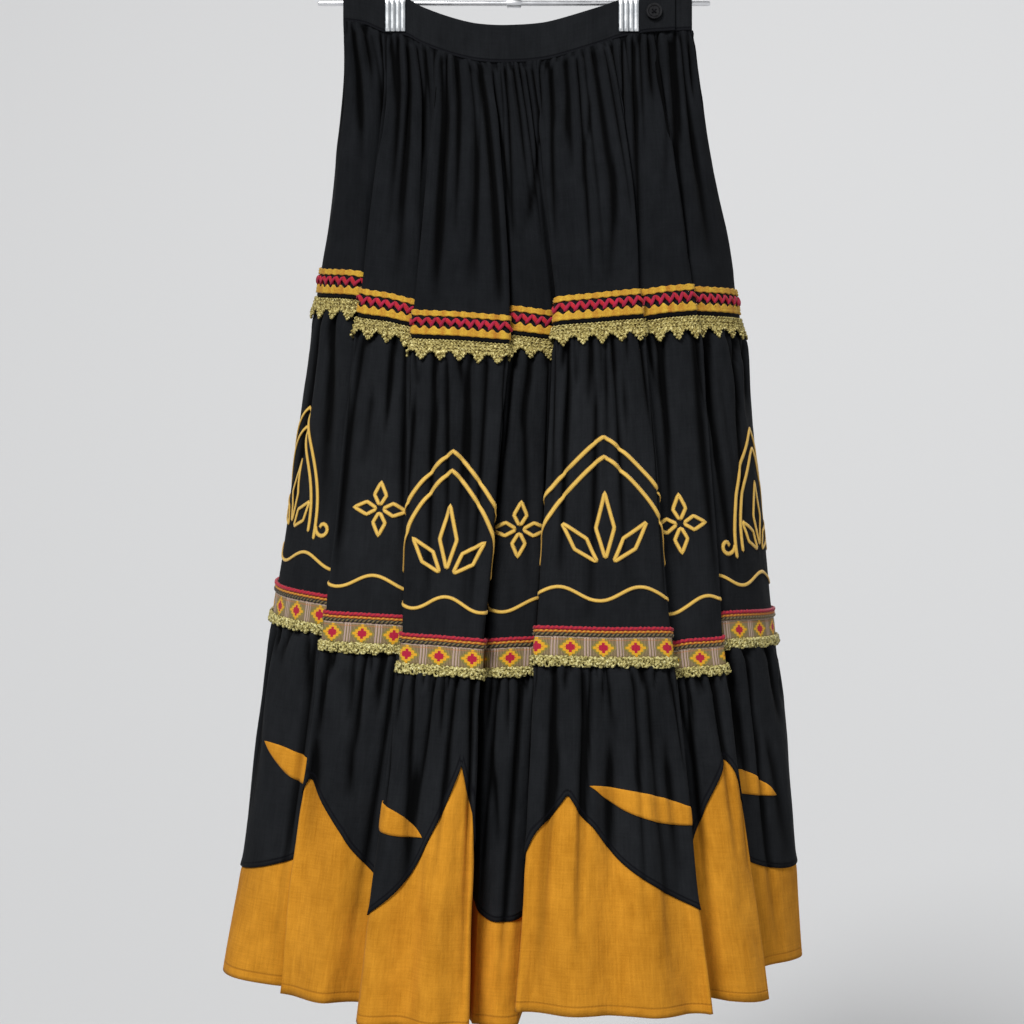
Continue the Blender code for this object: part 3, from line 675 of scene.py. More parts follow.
# %% Cotton materials
def cotton(name, dark, pale, sheen, stitch=None, stitch_colour=None, crease=1.0):
    """Woven cotton, with a stitched line at a distance from its edge, painted shade in its creases, along its
    turned edge and in its stitch groove, and a darker colour towards the top.
    """
    material, board, shader = open_material(name, 0.92, sheen, specular=0.06)
    cloth_map = board.uv()
    threads = board.put("ShaderNodeGroup", node_tree=weave)
    board.feed(threads, "Where", cloth_map)
    share = board.ramp(threads.outputs["Tone"], 0.42, 1.0)
    colour = board.mix(share, dark, pale)
    if crease < 1:
        # Painted shade in the creases: where the attribute is 0 the colour is multiplied by crease.
        crease_shade_mask = board.put("ShaderNodeAttribute", attribute_name="crease_shade_mask").outputs["Fac"]
        crease_shaded = board.mix(1.0, colour, (crease, crease, crease * 1.04, 1), "MULTIPLY")
        colour = board.mix(crease_shade_mask, crease_shaded, colour)
        # The colour is made darker towards the top: about 0.78 of itself above 0.22 m drop, full below 0.36
        # m.
        fall = board.split(cloth_map)[1]
        deep = board.mix(1.0, colour, (0.77, 0.78, 0.80, 1), "MULTIPLY")
        colour = board.mix(board.ramp(fall, 0.22, 0.36), deep, colour)
    height = threads.outputs["Height"]
    if stitch:
        run, far = board.split(board.uv("edge"))
        near = board.gap(far, stitch)
        # The stitched line is the thread colour with painted shade along its groove; its dashes are pressed
        # only into the height.
        groove = board.ramp(near, 0.0013, 0.0002)
        dash = board.ramp(board.wave(run, 2400), -0.6, 0.2)
        colour = board.mix(board.times(groove, 0.75), colour, stitch_colour)
        # Painted shadow along the turned edge: within 2.2 mm of the edge the colour goes towards the thread
        # colour.
        turned_edge_shadow = board.ramp(far, 0.0022, 0.0)
        colour = board.mix(board.times(turned_edge_shadow, 0.6), colour, stitch_colour)
        sewn = board.times(groove, board.plus(dash, 1.2))
        height = board.maths("SUBTRACT", height, sewn)
    board.feed(shader, "Base Color", colour)
    board.relief(shader, 0.4, 0.0006, height)
    return material


BLACK_DARK, BLACK_PALE = (0.0085, 0.0093, 0.0108, 1), (0.0215, 0.0232, 0.0262, 1)
MUSTARD_DARK, MUSTARD_PALE = (0.46, 0.178, 0.010, 1), (0.90, 0.395, 0.036, 1)
BLACK_THREAD = (0.004, 0.004, 0.006, 1)
# crease is the share of the colour left in the painted shade of the creases: 0.08 on black, 0.7 on mustard.
black_cotton = cotton("black_cotton", BLACK_DARK, BLACK_PALE, 0.015, crease=0.08)
black_edged = cotton("black_cotton_stitched_edge", BLACK_DARK, BLACK_PALE, 0.015, 0.0040, BLACK_THREAD, 0.08)
mustard_hemmed = cotton("mustard_cotton_hemmed", MUSTARD_DARK, MUSTARD_PALE, 0.05, 0.0085,
                        (0.46, 0.18, 0.014, 1), 0.7)
mustard_leaf = cotton("mustard_cotton_leaf", MUSTARD_DARK, MUSTARD_PALE, 0.05, crease=0.7)
print("cotton materials:", black_cotton.name, mustard_leaf.name)

# %% [markdown]
# ## Upper tier
# The top tier is sewn into the waistband, so it starts flat and tightly gathered and
# opens into the first folds by the braid. A grid of points is laid on the calm skirt,
# welded where it meets itself and given the thickness of cotton by Solidify.


# %% Build the upper tier
def cloth_object(name, shape, material, thick, *nodes):
    close_seams(shape)
    item = finish_mesh(name, shape, [material])
    if thick:
        shell = item.modifiers.new("cloth thickness", "SOLIDIFY")
        shell.thickness = thick * MM
        shell.offset = 0
    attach(item, "root")
    if nodes:
        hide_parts(*nodes)
    return item


def soften(item, width, turn):
    """Round the edges that turn by more than an angle."""
    soft = item.modifiers.new("soft edges", "BEVEL")
    soft.width = width * MM
    soft.segments = 2
    soft.limit_method = "ANGLE"
    soft.angle_limit = math.radians(turn)


def build_tier(name, top, foot, rows_down, wide, seed, rows, swell, quiet, mid_drop, *nodes):
    places = np.linspace(0, COLUMNS, wide + 1)
    drops = np.broadcast_to(down_rows(top, foot, rows_down)[:, None], (rows_down, wide + 1))
    points, crease_shade_mask = tier_points(places, drops, top, foot, seed, rows, swell, quiet)
    along = length_at(places, mid_drop)
    shape = bmesh.new()
    lay_grid(shape, points, along[None, :], drops * MM, None, crease_shade_mask)
    return cloth_object(name, shape, black_cotton, COTTON, *nodes)


upper_rows = [row for row in creases if row[1] < 250] + long_pleats(5, 1, 250, 76, 9.0)
upper_rows += long_pleats(8, 1, 250, 24, 9.0, 54, 100) + small_gathers(11, -1, 170, 24, 3.6)
upper_tier = build_tier("upper_tier", -1.5, UPPER_SEAM, 43, 800, 3, upper_rows, 1.7, 256, 140,
                        "upper_tier_front", "upper_tier_back")
print("upper tier faces:", len(upper_tier.data.polygons))

# %% [markdown]
# ## Middle tier
# The second tier is gathered under the braid. It carries the sewn gold design later on.

# %% Build the middle tier
middle_rows = [row for row in creases if 285 <= row[1] < 560] + long_pleats(6, 288, 545, 68, 9.5)
middle_rows += long_pleats(9, 288, 545, 20, 9.5, 54, 100) + small_gathers(13, 286, 160, 34, 5.6)
middle_tier = build_tier("middle_tier", 284, LOWER_SEAM, 41, 820, 17, middle_rows, 2.0, 556, 440,
                         "middle_tier_front", "middle_tier_back")
print("middle tier faces:", len(middle_tier.data.polygons))

# %% [markdown]
# ## Lower tier and border
# The lowest tier is black above and mustard below, joined along pointed arches. Both
# sides of the join are cut by one curve, so the two meshes share its columns. The black
# turns over the mustard with a stitched edge, and the border ends in a sewn hem.

# %% Build the lower tier and the border
ARCH_FEET = (4.5, 19.5, 33.0, 50.0, 64.5, 79.0, 91.0)
TALL_TIP, SHORT_TIP, ARCH_FOOT, ARCH_CURVE = 668, 706, 812, 0.9


def arch_edge(place):
    """Drop of the join between black and mustard: round at each foot, pointed between."""
    ends = np.array(ARCH_FEET + (ARCH_FEET[0] + COLUMNS,))
    turned = np.mod(place - ends[0], COLUMNS) + ends[0]
    number = np.clip(np.searchsorted(ends, turned, side="right") - 1, 0, len(ARCH_FEET) - 1)
    away = np.abs((turned - ends[number]) / (ends[number + 1] - ends[number]) - 0.5) * 2
    tip = np.where(number % 2 == 1, TALL_TIP, SHORT_TIP)
    return tip + (ARCH_FOOT - tip) * np.sin(math.pi / 2 * away ** ARCH_CURVE)


LOWER_WIDE = 820
lower_places = np.linspace(0, COLUMNS, LOWER_WIDE + 1)
edge = arch_edge(lower_places)
lower_rows = [row for row in creases if row[1] >= 580] + long_pleats(7, 586, 890, 62, 9.0)
lower_rows += long_pleats(10, 586, 850, 18, 10.0, 54, 100) + small_gathers(15, 584, 180, 42, 7.0)
LOWER_TOP = 583
LOWER_SHAPING = (LOWER_TOP, HEM, 23, lower_rows, 2.2)
mean_arc = length_at(lower_places, 760)
steepness = np.hypot(1, np.gradient(edge) / (np.gradient(mean_arc) / MM))

share = np.linspace(0, 1, 36)[:, None] ** 1.15
drops = LOWER_TOP + (edge[None, :] - LOWER_TOP) * share
black_points, crease_shade_mask = tier_points(lower_places, drops, *LOWER_SHAPING)
turned = np.exp(-((edge[None, :] - drops) / steepness / 6) ** 2)
outward = on_skirt(np.broadcast_to(lower_places[None, :], drops.shape), drops)[1]
black_points = black_points + outward * (turned * 1.2 * MM)[..., None]
shape = bmesh.new()
lay_grid(shape, black_points, mean_arc[None, :], drops * MM, (edge[None, :] - drops) / steepness * MM, crease_shade_mask)
lower_tier = cloth_object("lower_tier", shape, black_edged, COTTON, "lower_tier_front", "lower_tier_back")

drops = edge[None, :] - 5 + (HEM - edge[None, :] + 5) * np.linspace(0, 1, 28)[:, None]
drops = np.minimum(drops, HEM)
border_points, crease_shade_mask = tier_points(lower_places, drops, *LOWER_SHAPING)
tucked = np.exp(-((drops - edge[None, :]) / steepness / 5) ** 2)
outward = on_skirt(np.broadcast_to(lower_places[None, :], drops.shape), drops)[1]
border_points = border_points - outward * (tucked * 0.7 * MM)[..., None]
shape = bmesh.new()
lay_grid(shape, border_points, mean_arc[None, :], drops * MM, (HEM - drops) * MM, crease_shade_mask)
hem_border = cloth_object("hem_border", shape, mustard_hemmed, COTTON, "hem_border_front", "hem_border_back")
print("lower tier faces:", len(lower_tier.data.polygons), "border faces:", len(hem_border.data.polygons))

# %% Leaf patches
LEAF_RING = 720


def leaf_patch(shape, middle, drop, length, width, tilt, bow):
    """A pointed leaf of mustard cotton sewn on the black, laid by arc length."""
    along = np.linspace(-1, 1, 41)[None, :]
    across = np.linspace(-1, 1, 9)[:, None]
    half = width / 2 * (1 - np.abs(along) ** 2.1)
    x = np.broadcast_to(middle + (along * length / 2) * MM, (9, 41))
    y = drop + tilt * along + bow * (along ** 2 - 0.5) + across * half
    places = place_at(x, LEAF_RING)
    points, crease_shade_mask = tier_points(places[0], y, *LOWER_SHAPING)
    outward = on_skirt(places, y)[1]
    points = points + outward * ((1.1 + 0.4 * (1 - across ** 4)) * MM + along * 0)[..., None]
    lay_grid(shape, points, x, y * MM, None, crease_shade_mask)


# Place round the skirt, drop, length and tilt of each leaf
LEAVES = ((7.6, 708, 92, 13), (20.6, 724, 84, 9), (46.4, 716, 124, 15),
          (62.0, 722, 96, 13), (79.0, 738, 104, 10), (92.8, 716, 116, 15))
leaves = bmesh.new()
for number, (place, high, long, tilt) in enumerate(LEAVES):
    middle = length_at(place, LEAF_RING)
    leaf_patch(leaves, middle, high, long, 24, tilt, 6 if number % 2 else -5)
leaf_patches = cloth_object("leaf_patches", leaves, mustard_leaf, 0.7)
print("leaf patch faces:", len(leaf_patches.data.polygons))

# %% [markdown]
# ## Crochet braid
# The upper trim is a black tape with a crocheted yellow edge on both sides and fat crimson
# and magenta stitches slanting to and fro between. The edges are bumpy bands, and each
# stitch is a short thread that swells at its middle, so the relief is real.


# %% Yarn material
def yarn(name, dark, pale, roughness=0.85, sheen=0.15, fine=2600, spread=160, metallic=0.0, glint=0.0):
    material, board, shader = open_material(name, roughness, sheen, metallic, 0.3)
    cloth_map = board.uv()
    patch = board.noise(board.stretched(cloth_map, (spread, 1.0, 1)), 1.0, 2.0)
    spot = board.spot()
    fuzz = board.noise(spot, fine, 2.0)
    share = board.ramp(board.plus(board.times(patch, 0.7), board.times(fuzz, 0.5)), 0.4, 0.8)
    board.feed(shader, "Base Color", board.mix(share, dark, pale))
    if glint:
        spark = board.ramp(board.noise(spot, fine * 0.6, 1.0), 0.58, 0.66)
        board.feed(shader, "Metallic", board.times(spark, glint))
        board.feed(shader, "Coat Weight", board.ramp(spark, 0.0, 1.6))
    board.relief(shader, 0.5, 0.0005, fuzz)
    return material


yellow_yarn = yarn("yellow_yarn", (0.46, 0.17, 0.012, 1), (0.80, 0.52, 0.05, 1), fine=900)
crimson_yarn = yarn("crimson_yarn", (0.30, 0.006, 0.016, 1), (0.68, 0.022, 0.04, 1), spread=90)


def knotted_gold(name, gap, middle, bright, knots):
    """Lurex crochet: dark gaps between small bright knots."""
    material, board, shader = open_material(name, 0.5, 0.02, 0.0, 0.2)
    spot = board.spot()
    coarse, fine = board.noise(spot, knots, 1.0), board.noise(spot, knots * 2.7, 2.0)
    share = board.plus(board.times(coarse, 0.65), board.times(fine, 0.45))
    colour = board.mix(board.ramp(share, 0.43, 0.55), gap, middle)
    board.feed(shader, "Base Color", board.mix(board.ramp(share, 0.58, 0.72), colour, bright))
    board.feed(shader, "Metallic", board.times(board.ramp(share, 0.66, 0.72), 0.5))
    board.relief(shader, 0.8, 0.0012, share)
    return material


gold_yarn = knotted_gold("gold_lace_thread", (0.085, 0.050, 0.010, 1), (0.50, 0.41, 0.13, 1),
                         (1.0, 0.90, 0.45, 1), 480)
cream_gold = knotted_gold("cream_gold_thread", (0.10, 0.08, 0.02, 1), (0.56, 0.48, 0.17, 1),
                          (0.95, 0.90, 0.50, 1), 420)
magenta_yarn = yarn("magenta_yarn", (0.25, 0.005, 0.026, 1), (0.58, 0.017, 0.078, 1), spread=90)
black_tape = cotton("black_tape", (0.006, 0.006, 0.008, 1), (0.014, 0.014, 0.018, 1), 0.05)
print("yarns made")


# %% Braid pieces
def loops_along(shape, drop, out, pitch, swing, fall, thick, seed, samples=9, sides=5, mid_drop=None):
    """One thread laid round the skirt in rolling loops."""
    mid_drop = mid_drop or drop
    total, count = pitches(mid_drop, pitch)
    turn = np.linspace(0, 2 * math.pi * count, count * samples + 1)
    pick = np.random.RandomState(seed)
    own = np.repeat(pick.uniform(0.75, 1.25, count), samples)
    own = np.append(own, own[0])
    length = total * turn / turn[-1] + swing * MM * np.sin(turn) * own
    high = drop + fall * (0.5 - 0.5 * np.cos(turn)) * own
    lift = out + 0.35 * thick * np.sin(turn + 1.2)
    centres, normal = on_skirt(place_at(length, mid_drop), high, lift)
    thread(shape, centres, normal, thick, thick, sides)


def slanted_stitches(shape, drop, out, pitch, shift, length, wide, lean, seed, mid_drop):
    """Fat stitches that all lean one way, each a short thick strand that swells at its middle."""
    total, count = pitches(mid_drop, pitch)
    pick = random.Random(seed)
    along = np.linspace(-1, 1, 8)
    swell = np.sqrt(np.clip(1 - along ** 4, 0.03, 1))
    for number in range(count):
        slant = math.radians(lean + pick.uniform(-6, 6))
        reach = length / 2 * pick.uniform(0.92, 1.08)
        middle = total * (number + shift + pick.uniform(-0.03, 0.03)) / count
        places = place_at(middle - along * reach * math.sin(slant) * MM, mid_drop)
        points, normal = on_skirt(places, drop + along * reach * math.cos(slant),
                                  out + 0.9 * (1 - along ** 2))
        thread(shape, points, normal, wide * swell, 2.0 * swell, 8, tones=number * 0.37)


def lay_band(shape, length, mid_drop, drops, out, down):
    """A closed band laid round the skirt; its last column stands on its first."""
    along = place_at(np.minimum(length, length[-1] * 0.9999999), mid_drop)
    points = on_skirt(along[None, :], drops, out)[0]
    points[:, -1] = points[:, 0]
    lay_grid(shape, points, length[None, :], down)


def balls_round(shape, beads, pitch, out, seed, mid_drop, jitter, out_spread, size_spread):
    """Small balls in every pitch; each bead is a share of the pitch, a drop and a radius."""
    total, count = pitches(mid_drop, pitch)
    pick = random.Random(seed)
    uv = shape.loops.layers.uv.get("cloth") or shape.loops.layers.uv.new("cloth")
    for number in range(count):
        for across, drop, radius in beads:
            at = total * (number + across + pick.uniform(-jitter, jitter)) / count
            drop = drop + pick.uniform(-0.5, 0.5)
            spot = on_skirt(place_at(at, mid_drop), drop, out + pick.uniform(*out_spread))[0]
            radius = radius * pick.uniform(*size_spread) * MM
            made = bmesh.ops.create_icosphere(shape, subdivisions=1, radius=radius,
                                              matrix=Matrix.Translation(Vector(spot)))["verts"]
            for vert in made:
                for loop in vert.link_loops:
                    loop[uv].uv = (number * 0.021 + across * 0.01, 0)


def crochet_band(shape, top, foot, top_wave, foot_wave, pitch, out, wide, mid_drop, rows=6):
    """A crocheted edge: bumpy, a little wavy above, with a peak at every stitch below."""
    total, count = pitches(mid_drop, pitch)
    length = np.linspace(0, total, wide + 1)
    phase = length / total * count
    high = top - top_wave * np.abs(np.sin(math.pi * phase)) ** 2
    low = foot + foot_wave * np.abs(np.sin(math.pi * phase)) ** 2
    share = np.linspace(0, 1, rows)[:, None]
    drops = high[None, :] + (low - high)[None, :] * share
    lumps = 0.9 * np.sin(length[None, :] / MM * 2.1 + 1.7 * share * rows) + 0.4 * np.sin(drops * 2.6)
    lay_band(shape, length, mid_drop, drops, out + lumps * 0.6, drops * MM)


def flat_tape(name, top, foot, out, thick, material, wide, rows=5, swell=0.0, *nodes):
    mid_drop = (top + foot) / 2
    total = ring_length(mid_drop)
    length = np.linspace(0, total, wide + 1)
    drops = np.linspace(top, foot, rows)[:, None] + length[None, :] * 0
    crown = out + swell * np.sin(np.linspace(0, math.pi, rows))[:, None]
    shape = bmesh.new()
    lay_band(shape, length, mid_drop, drops, crown, (drops - top) * MM)
    return cloth_object(name, shape, material, thick, *nodes)


BRAID_PITCH, BRAID_RING = 9.0, 262.5
braid_tape = flat_tape("braid_tape", 252.5, 278.5, 1.1, 0.8, black_tape, 420, 4, 0.2)
shape = bmesh.new()
crochet_band(shape, 252.6, 257.0, 0.8, 1.0, BRAID_PITCH, 1.9, 900, BRAID_RING)
crochet_band(shape, 270.0, 275.2, 3.2, 0.5, BRAID_PITCH, 2.0, 900, BRAID_RING)
braid_edges = cloth_object("braid_edges", shape, yellow_yarn, 1.2, "upper_braid")
shape = bmesh.new()
slanted_stitches(shape, 262.8, 1.8, BRAID_PITCH, 0.0, 10.6, 4.3, -42, 8, BRAID_RING)
braid_stitches = cloth_object("braid_stitches", shape, crimson_yarn, 0)
shape = bmesh.new()
slanted_stitches(shape, 263.4, 2.6, BRAID_PITCH, 0.42, 10.4, 3.2, 34, 9, BRAID_RING)
braid_cross = cloth_object("braid_cross_stitches", shape, magenta_yarn, 0)
print("braid faces:", len(braid_edges.data.polygons), len(braid_stitches.data.polygons))

# %% [markdown]
# ## Gold lace
# Under the braid hangs antique gold crochet lace with a point every 17.6 mm and small
# picots on it. A lumpy web gives its body, and threads in loops over it give the knots.


# %% Lace
def lace_web(shape, top, notch, point, pitch, out, out_foot, wide, mid_drop, picot=1.6, rows=9):
    total, points_round = pitches(mid_drop, pitch)
    length = np.linspace(0, total, wide + 1)
    phase = np.mod(length / total * points_round, 1)
    fang = np.maximum(0.62 * np.sqrt(np.clip(1 - (np.abs(phase - 0.5) / 0.34) ** 2, 0, 1)),
                      np.sqrt(np.clip(1 - ((phase - 0.5) / 0.15) ** 2, 0, 1)))
    small = np.abs(np.sin(math.pi * np.mod(phase * 5, 1)))
    foot = notch + (point - notch) * fang + picot * small
    share = np.linspace(0, 1, rows)[:, None]
    drops = top + (foot[None, :] - top) * share
    lumps = 0.45 * np.sin(drops * 1.9) * np.sin(length[None, :] / MM * 1.7 + drops * 0.6)
    lift = out + (out_foot - out) * share + lumps
    lay_band(shape, length, mid_drop, drops, lift, drops * MM)
    return points_round


LACE_PITCH, LACE_RING = 17.6, 290
shape = bmesh.new()
lace_points = lace_web(shape, 280.0, 290.5, 299.0, LACE_PITCH, 1.6, 3.8, 1040, LACE_RING, 0.9)
upper_lace = cloth_object("gold_lace_web", shape, gold_yarn, 0.9, "upper_lace")
shape = bmesh.new()
loops_along(shape, 280.2, 2.6, 3.4, 1.5, 4.2, 1.5, 21, 6, 4, LACE_RING)
loops_along(shape, 284.0, 3.1, 4.0, 1.9, 4.6, 1.6, 22, 6, 4, LACE_RING)
loops_along(shape, 287.4, 3.5, 3.7, 1.8, 4.4, 1.6, 23, 6, 4, LACE_RING)
upper_lace_knots = cloth_object("upper_lace_knots", shape, gold_yarn, 0)


# Share of the pitch and of the point's height for the knots of every lace point
PICOTS = ((0.5, 1.0), (0.42, 0.82), (0.58, 0.82), (0.5, 0.68), (0.30, 0.56), (0.70, 0.56),
          (0.38, 0.42), (0.62, 0.42), (0.2, 0.2), (0.8, 0.2), (0.5, 0.3), (0.03, 0.02))
NOTCH, POINT = 291.0, 299.5
shape = bmesh.new()
balls_round(shape, [(across, NOTCH + (POINT - NOTCH) * rise, 1.6) for across, rise in PICOTS],
            LACE_PITCH, 4.0, 31, LACE_RING, 0.015, (-0.2, 0.4), (0.75, 1.15))
lace_picots = cloth_object("upper_lace_picots", shape, gold_yarn, 0)
print("lace points round the skirt:", lace_points)

# %% [markdown]
# ## Cords, ribbon and loop edging
# The lower trim is three twisted cords, a ribbon woven with stepped diamonds between
# triple stripes, and pale gold loops. Each cord is a two-strand section that turns as it
# runs. The ribbon's pattern is drawn in a shader from its UV map, in metres.


# %% Cord material and cords
CORD_RING, TWIST_LAY = 557.5, 0.0085


def twist_material(name, strand, other, roughness=0.7):
    material, board, shader = open_material(name, roughness, 0.15, 0.0, 0.3)
    run, around = board.split(board.uv())
    turn = board.maths("SUBTRACT", around, board.times(run, 1 / TWIST_LAY))
    share = board.ramp(board.wave(turn, 4 * math.pi), -0.35, 0.35)
    spot = board.spot()
    fuzz = board.noise(spot, 2200, 2.0)
    colour = board.mix(share, strand, other)
    board.feed(shader, "Base Color", board.mix(board.times(fuzz, 0.35), colour, (0.02, 0.01, 0.01, 1)))
    board.relief(shader, 0.4, 0.0004, fuzz)
    return material


def cord_round(name, drop, out, thick, material, samples=1040, sides=8):
    length = np.linspace(0, ring_length(CORD_RING), samples + 1)
    centres, normal = on_skirt(place_at(length, CORD_RING), drop + 0.25 * np.sin(length * 900), out)
    centres[-1] = centres[0]
    shape = bmesh.new()
    thread(shape, centres, normal, thick, thick, sides, 2, TWIST_LAY)
    return cloth_object(name, shape, material, 0)


# Name, drop, way out from the cloth and thickness in mm, then the colours of both strands
red_cord, orange_cord, olive_cord = [
    cord_round(name, drop, out, thick, twist_material(name, strand, other))
    for name, drop, out, thick, strand, other in (
        ("red_cord", 554.6, 2.2, 3.5, (0.62, 0.018, 0.04, 1), (0.40, 0.008, 0.045, 1)),
        ("orange_cord", 557.6, 1.9, 2.6, (0.80, 0.38, 0.035, 1), (0.62, 0.16, 0.02, 1)),
        ("olive_cord", 560.4, 2.1, 3.1, (0.012, 0.011, 0.009, 1), (0.24, 0.18, 0.07, 1)))]
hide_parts("lower_cords")
print("cord faces:", len(red_cord.data.polygons))

# %% Ribbon
ribbon_stuff, board, shader = open_material("woven_ribbon", 0.75, 0.1, 0.0, 0.3)
run, fall = board.split(board.uv())
CELL_RIBS = 22
total, DIAMONDS = pitches(570, 29.7)
RIBS = DIAMONDS * CELL_RIBS
cell = board.maths("FRACT", board.times(run, DIAMONDS / total))
side = board.gap(cell, 0.5)
rib_number = board.maths("FLOOR", board.times(side, float(CELL_RIBS)))
across = board.times(rib_number, 1.35)
high = board.times(board.gap(fall, 0.0100), 1000)
spread = board.plus(board.times(across, 0.9), high)
odd = board.maths("PINGPONG", rib_number, 1.0)
rib_share = board.ramp(board.wave(run, 2 * math.pi * RIBS / total), -0.8, 0.8)
ground = board.mix(rib_share, (0.135, 0.105, 0.048, 1), (0.40, 0.28, 0.14, 1))
halo = board.ramp(spread, 10.6, 9.6)
ground = board.mix(board.times(halo, 0.75), ground, (0.30, 0.26, 0.03, 1))
stripe_zone = board.ramp(side, 0.375, 0.385)
stripes = board.ramp(board.wave(run, 2 * math.pi * RIBS / total / 2), -0.4, 0.3)
stripe = board.times(stripe_zone, stripes)
ground = board.mix(board.times(stripe, 0.85), ground, (0.60, 0.43, 0.37, 1))
outline = board.ramp(board.plus(spread, board.times(odd, 1.0)), 8.6, 8.2)
ground = board.mix(outline, ground, (0.86, 0.44, 0.02, 1))
core = board.ramp(board.plus(spread, board.times(odd, 0.8)), 4.9, 4.6)
ground = board.mix(core, ground, (0.50, 0.010, 0.045, 1))
selvage = board.ramp(board.gap(fall, 0.0004), 0.0011, 0.0008)
ground = board.mix(board.times(selvage, 0.8), ground, (0.55, 0.40, 0.34, 1))
thin_line = board.ramp(board.gap(fall, 0.0030), 0.0006, 0.0003)
ground = board.mix(board.times(thin_line, 0.5), ground, (0.50, 0.16, 0.05, 1))
board.feed(shader, "Base Color", ground)
board.relief(shader, 0.6, 0.0006, rib_share)
lower_ribbon = flat_tape("ribbon_weave", 562, 582.5, 1.4, 0.7, ribbon_stuff, 900, 6, 0.25, "lower_ribbon")
print("diamonds round the skirt:", DIAMONDS)

# %% Loop edging
# Share of the pitch, millimetres down and radius for the balls of every crochet shell
PUFFS = ((0.12, 1.0, 1.5), (0.30, 3.6, 1.8), (0.5, 5.0, 2.0), (0.70, 3.8, 1.8), (0.88, 1.2, 1.5),
         (0.38, 0.6, 1.7), (0.62, 0.4, 1.7), (0.5, 2.4, 1.9), (0.0, -0.8, 1.4), (0.2, -2.2, 1.4),
         (0.5, -2.4, 1.5), (0.8, -2.0, 1.4))
PUFF_DROP, PUFF_PITCH, EDGING_RING = 584.0, 10.6, 585
shape = bmesh.new()
loops_along(shape, 580.6, 2.6, 4.4, 2.6, 8.4, 2.1, 41, 7, 5, EDGING_RING)
loops_along(shape, 582.0, 3.6, 5.4, 3.2, 7.6, 2.1, 42, 7, 5, EDGING_RING)
lower_edging = cloth_object("lower_loop_edging", shape, cream_gold, 0, "lower_lace")
shape = bmesh.new()
balls_round(shape, [(across, PUFF_DROP + down, radius) for across, down, radius in PUFFS],
            PUFF_PITCH, 3.4, 32, EDGING_RING, 0.04, (-0.3, 0.7), (0.8, 1.15))
edging_puffs = cloth_object("lower_edging_puffs", shape, cream_gold, 0)
print("edging faces:", len(lower_edging.data.polygons), len(edging_puffs.data.polygons))

# %% [markdown]
# ## Sewn gold design
# The middle tier carries a row of gold satin lines: pointed arches drawn twice with three
# petals and a pair of curls, rosettes of four petals between, and a wave line below. Each
# line is a flat cord swept over the cloth.


# %% Gold lines
DESIGN_RING = 447.5


def satin_line(shape, middle, points, wide=4.4):
    """Sweep one satin-stitched line through millimetre points on the cloth."""
    points = np.array(points, float)
    knots = np.concatenate(([0], np.cumsum(np.hypot(*np.diff(points, axis=0).T))))
    even = np.linspace(0, knots[-1], max(int(knots[-1] / 2.2), 6))
    x = np.interp(even, knots, points[:, 0])
    y = np.interp(even, knots, points[:, 1])
    places = np.mod(place_at(middle + x * MM, DESIGN_RING), COLUMNS)
    out = 1.0 + tier_lift(places, y, 284, LOWER_SEAM, 17, middle_rows, 2.0, 556)[0]
    centres, normal = on_skirt(places, y, out)
    taper = np.sin(np.clip(np.minimum(even, even[-1] - even) / 3.0, 0, 1) * math.pi / 2) ** 0.7
    thread(shape, centres, normal, wide * taper, 1.6 * taper, 6)


def curl(x, y, radius, start, sweep, mirror):
    share = np.linspace(0, 1, 26)
    angle = np.radians(start + sweep * share)
    shrink = radius * (1 - 0.72 * share)
    return np.stack((mirror * (x + shrink * np.cos(angle)), y + shrink * np.sin(angle)), 1)


def pointed_arch(half, top, foot, swell):
    rise = np.linspace(0, 1, 34)
    side = half * (np.sin(rise * math.pi / 2) ** 0.8) * (1 + swell * np.sin(rise * math.pi))
    left = np.stack((-side, top + (foot - top) * rise), 1)
    return np.concatenate((left[::-1], np.stack((side, left[:, 1]), 1)[1:]))


# Place round the skirt and width of each arch, then the places of the small sprays
ARCH_PLACES = ((5.2, 0.72), (24.0, 1.0), (44.0, 1.3), (65.0, 0.72), (79.0, 0.9), (93.0, 0.9))
SPRAY_PLACES = (14.2, 33.0, 56.0, 72.0, 86.0, 99.5)
gold_lines = bmesh.new()


def ring_at(place):
    return float(length_at(place, DESIGN_RING))


def petal(shape, middle, x, y, lean, long, half):
    """A pointed petal that grows from a point and leans from the upright."""
    c, d = math.cos(math.radians(lean)), math.sin(math.radians(lean))
    flat = [(0, 0.1), (half, 0.52), (0, 1), (-half, 0.52), (0, 0.1)]
    line = [(x + c * a + d * b * long, y + d * a - c * b * long) for a, b in flat]
    satin_line(shape, middle, line, 4.0)


for place, wide in ARCH_PLACES:
    middle = ring_at(place)
    satin_line(gold_lines, middle, pointed_arch(56 * wide, 384, 506, 0.10))
    satin_line(gold_lines, middle, pointed_arch(44 * wide, 402, 500, 0.10))
    petal(gold_lines, middle, 0, 500, 0, 66, 8)
    for mirror in (-1, 1):
        petal(gold_lines, middle, mirror * 3, 500, mirror * 42, 46 * wide ** 0.5, 7)
        satin_line(gold_lines, middle, curl(70 * wide, 494, 12 * wide, 200, -400, mirror))
for place in SPRAY_PLACES:
    for turn in range(4):
        petal(gold_lines, ring_at(place), 0, 456, 90 * turn, 25, 6)
wave = np.linspace(0, ring_at(COLUMNS) / MM, 1200)
satin_line(gold_lines, 0, np.stack((wave, 524 + 6 * np.sin(wave * 2 * math.pi * 26 / wave[-1])), 1), 3.6)
STROKE = 0.0011
satin_gold, board, shader = open_material("satin_stitch_gold", 0.5, 0.2, 0.0, 0.4)
run, around = board.split(board.uv())
stroke_share = board.ramp(board.wave(run, 2 * math.pi / STROKE), -0.7, 0.7)
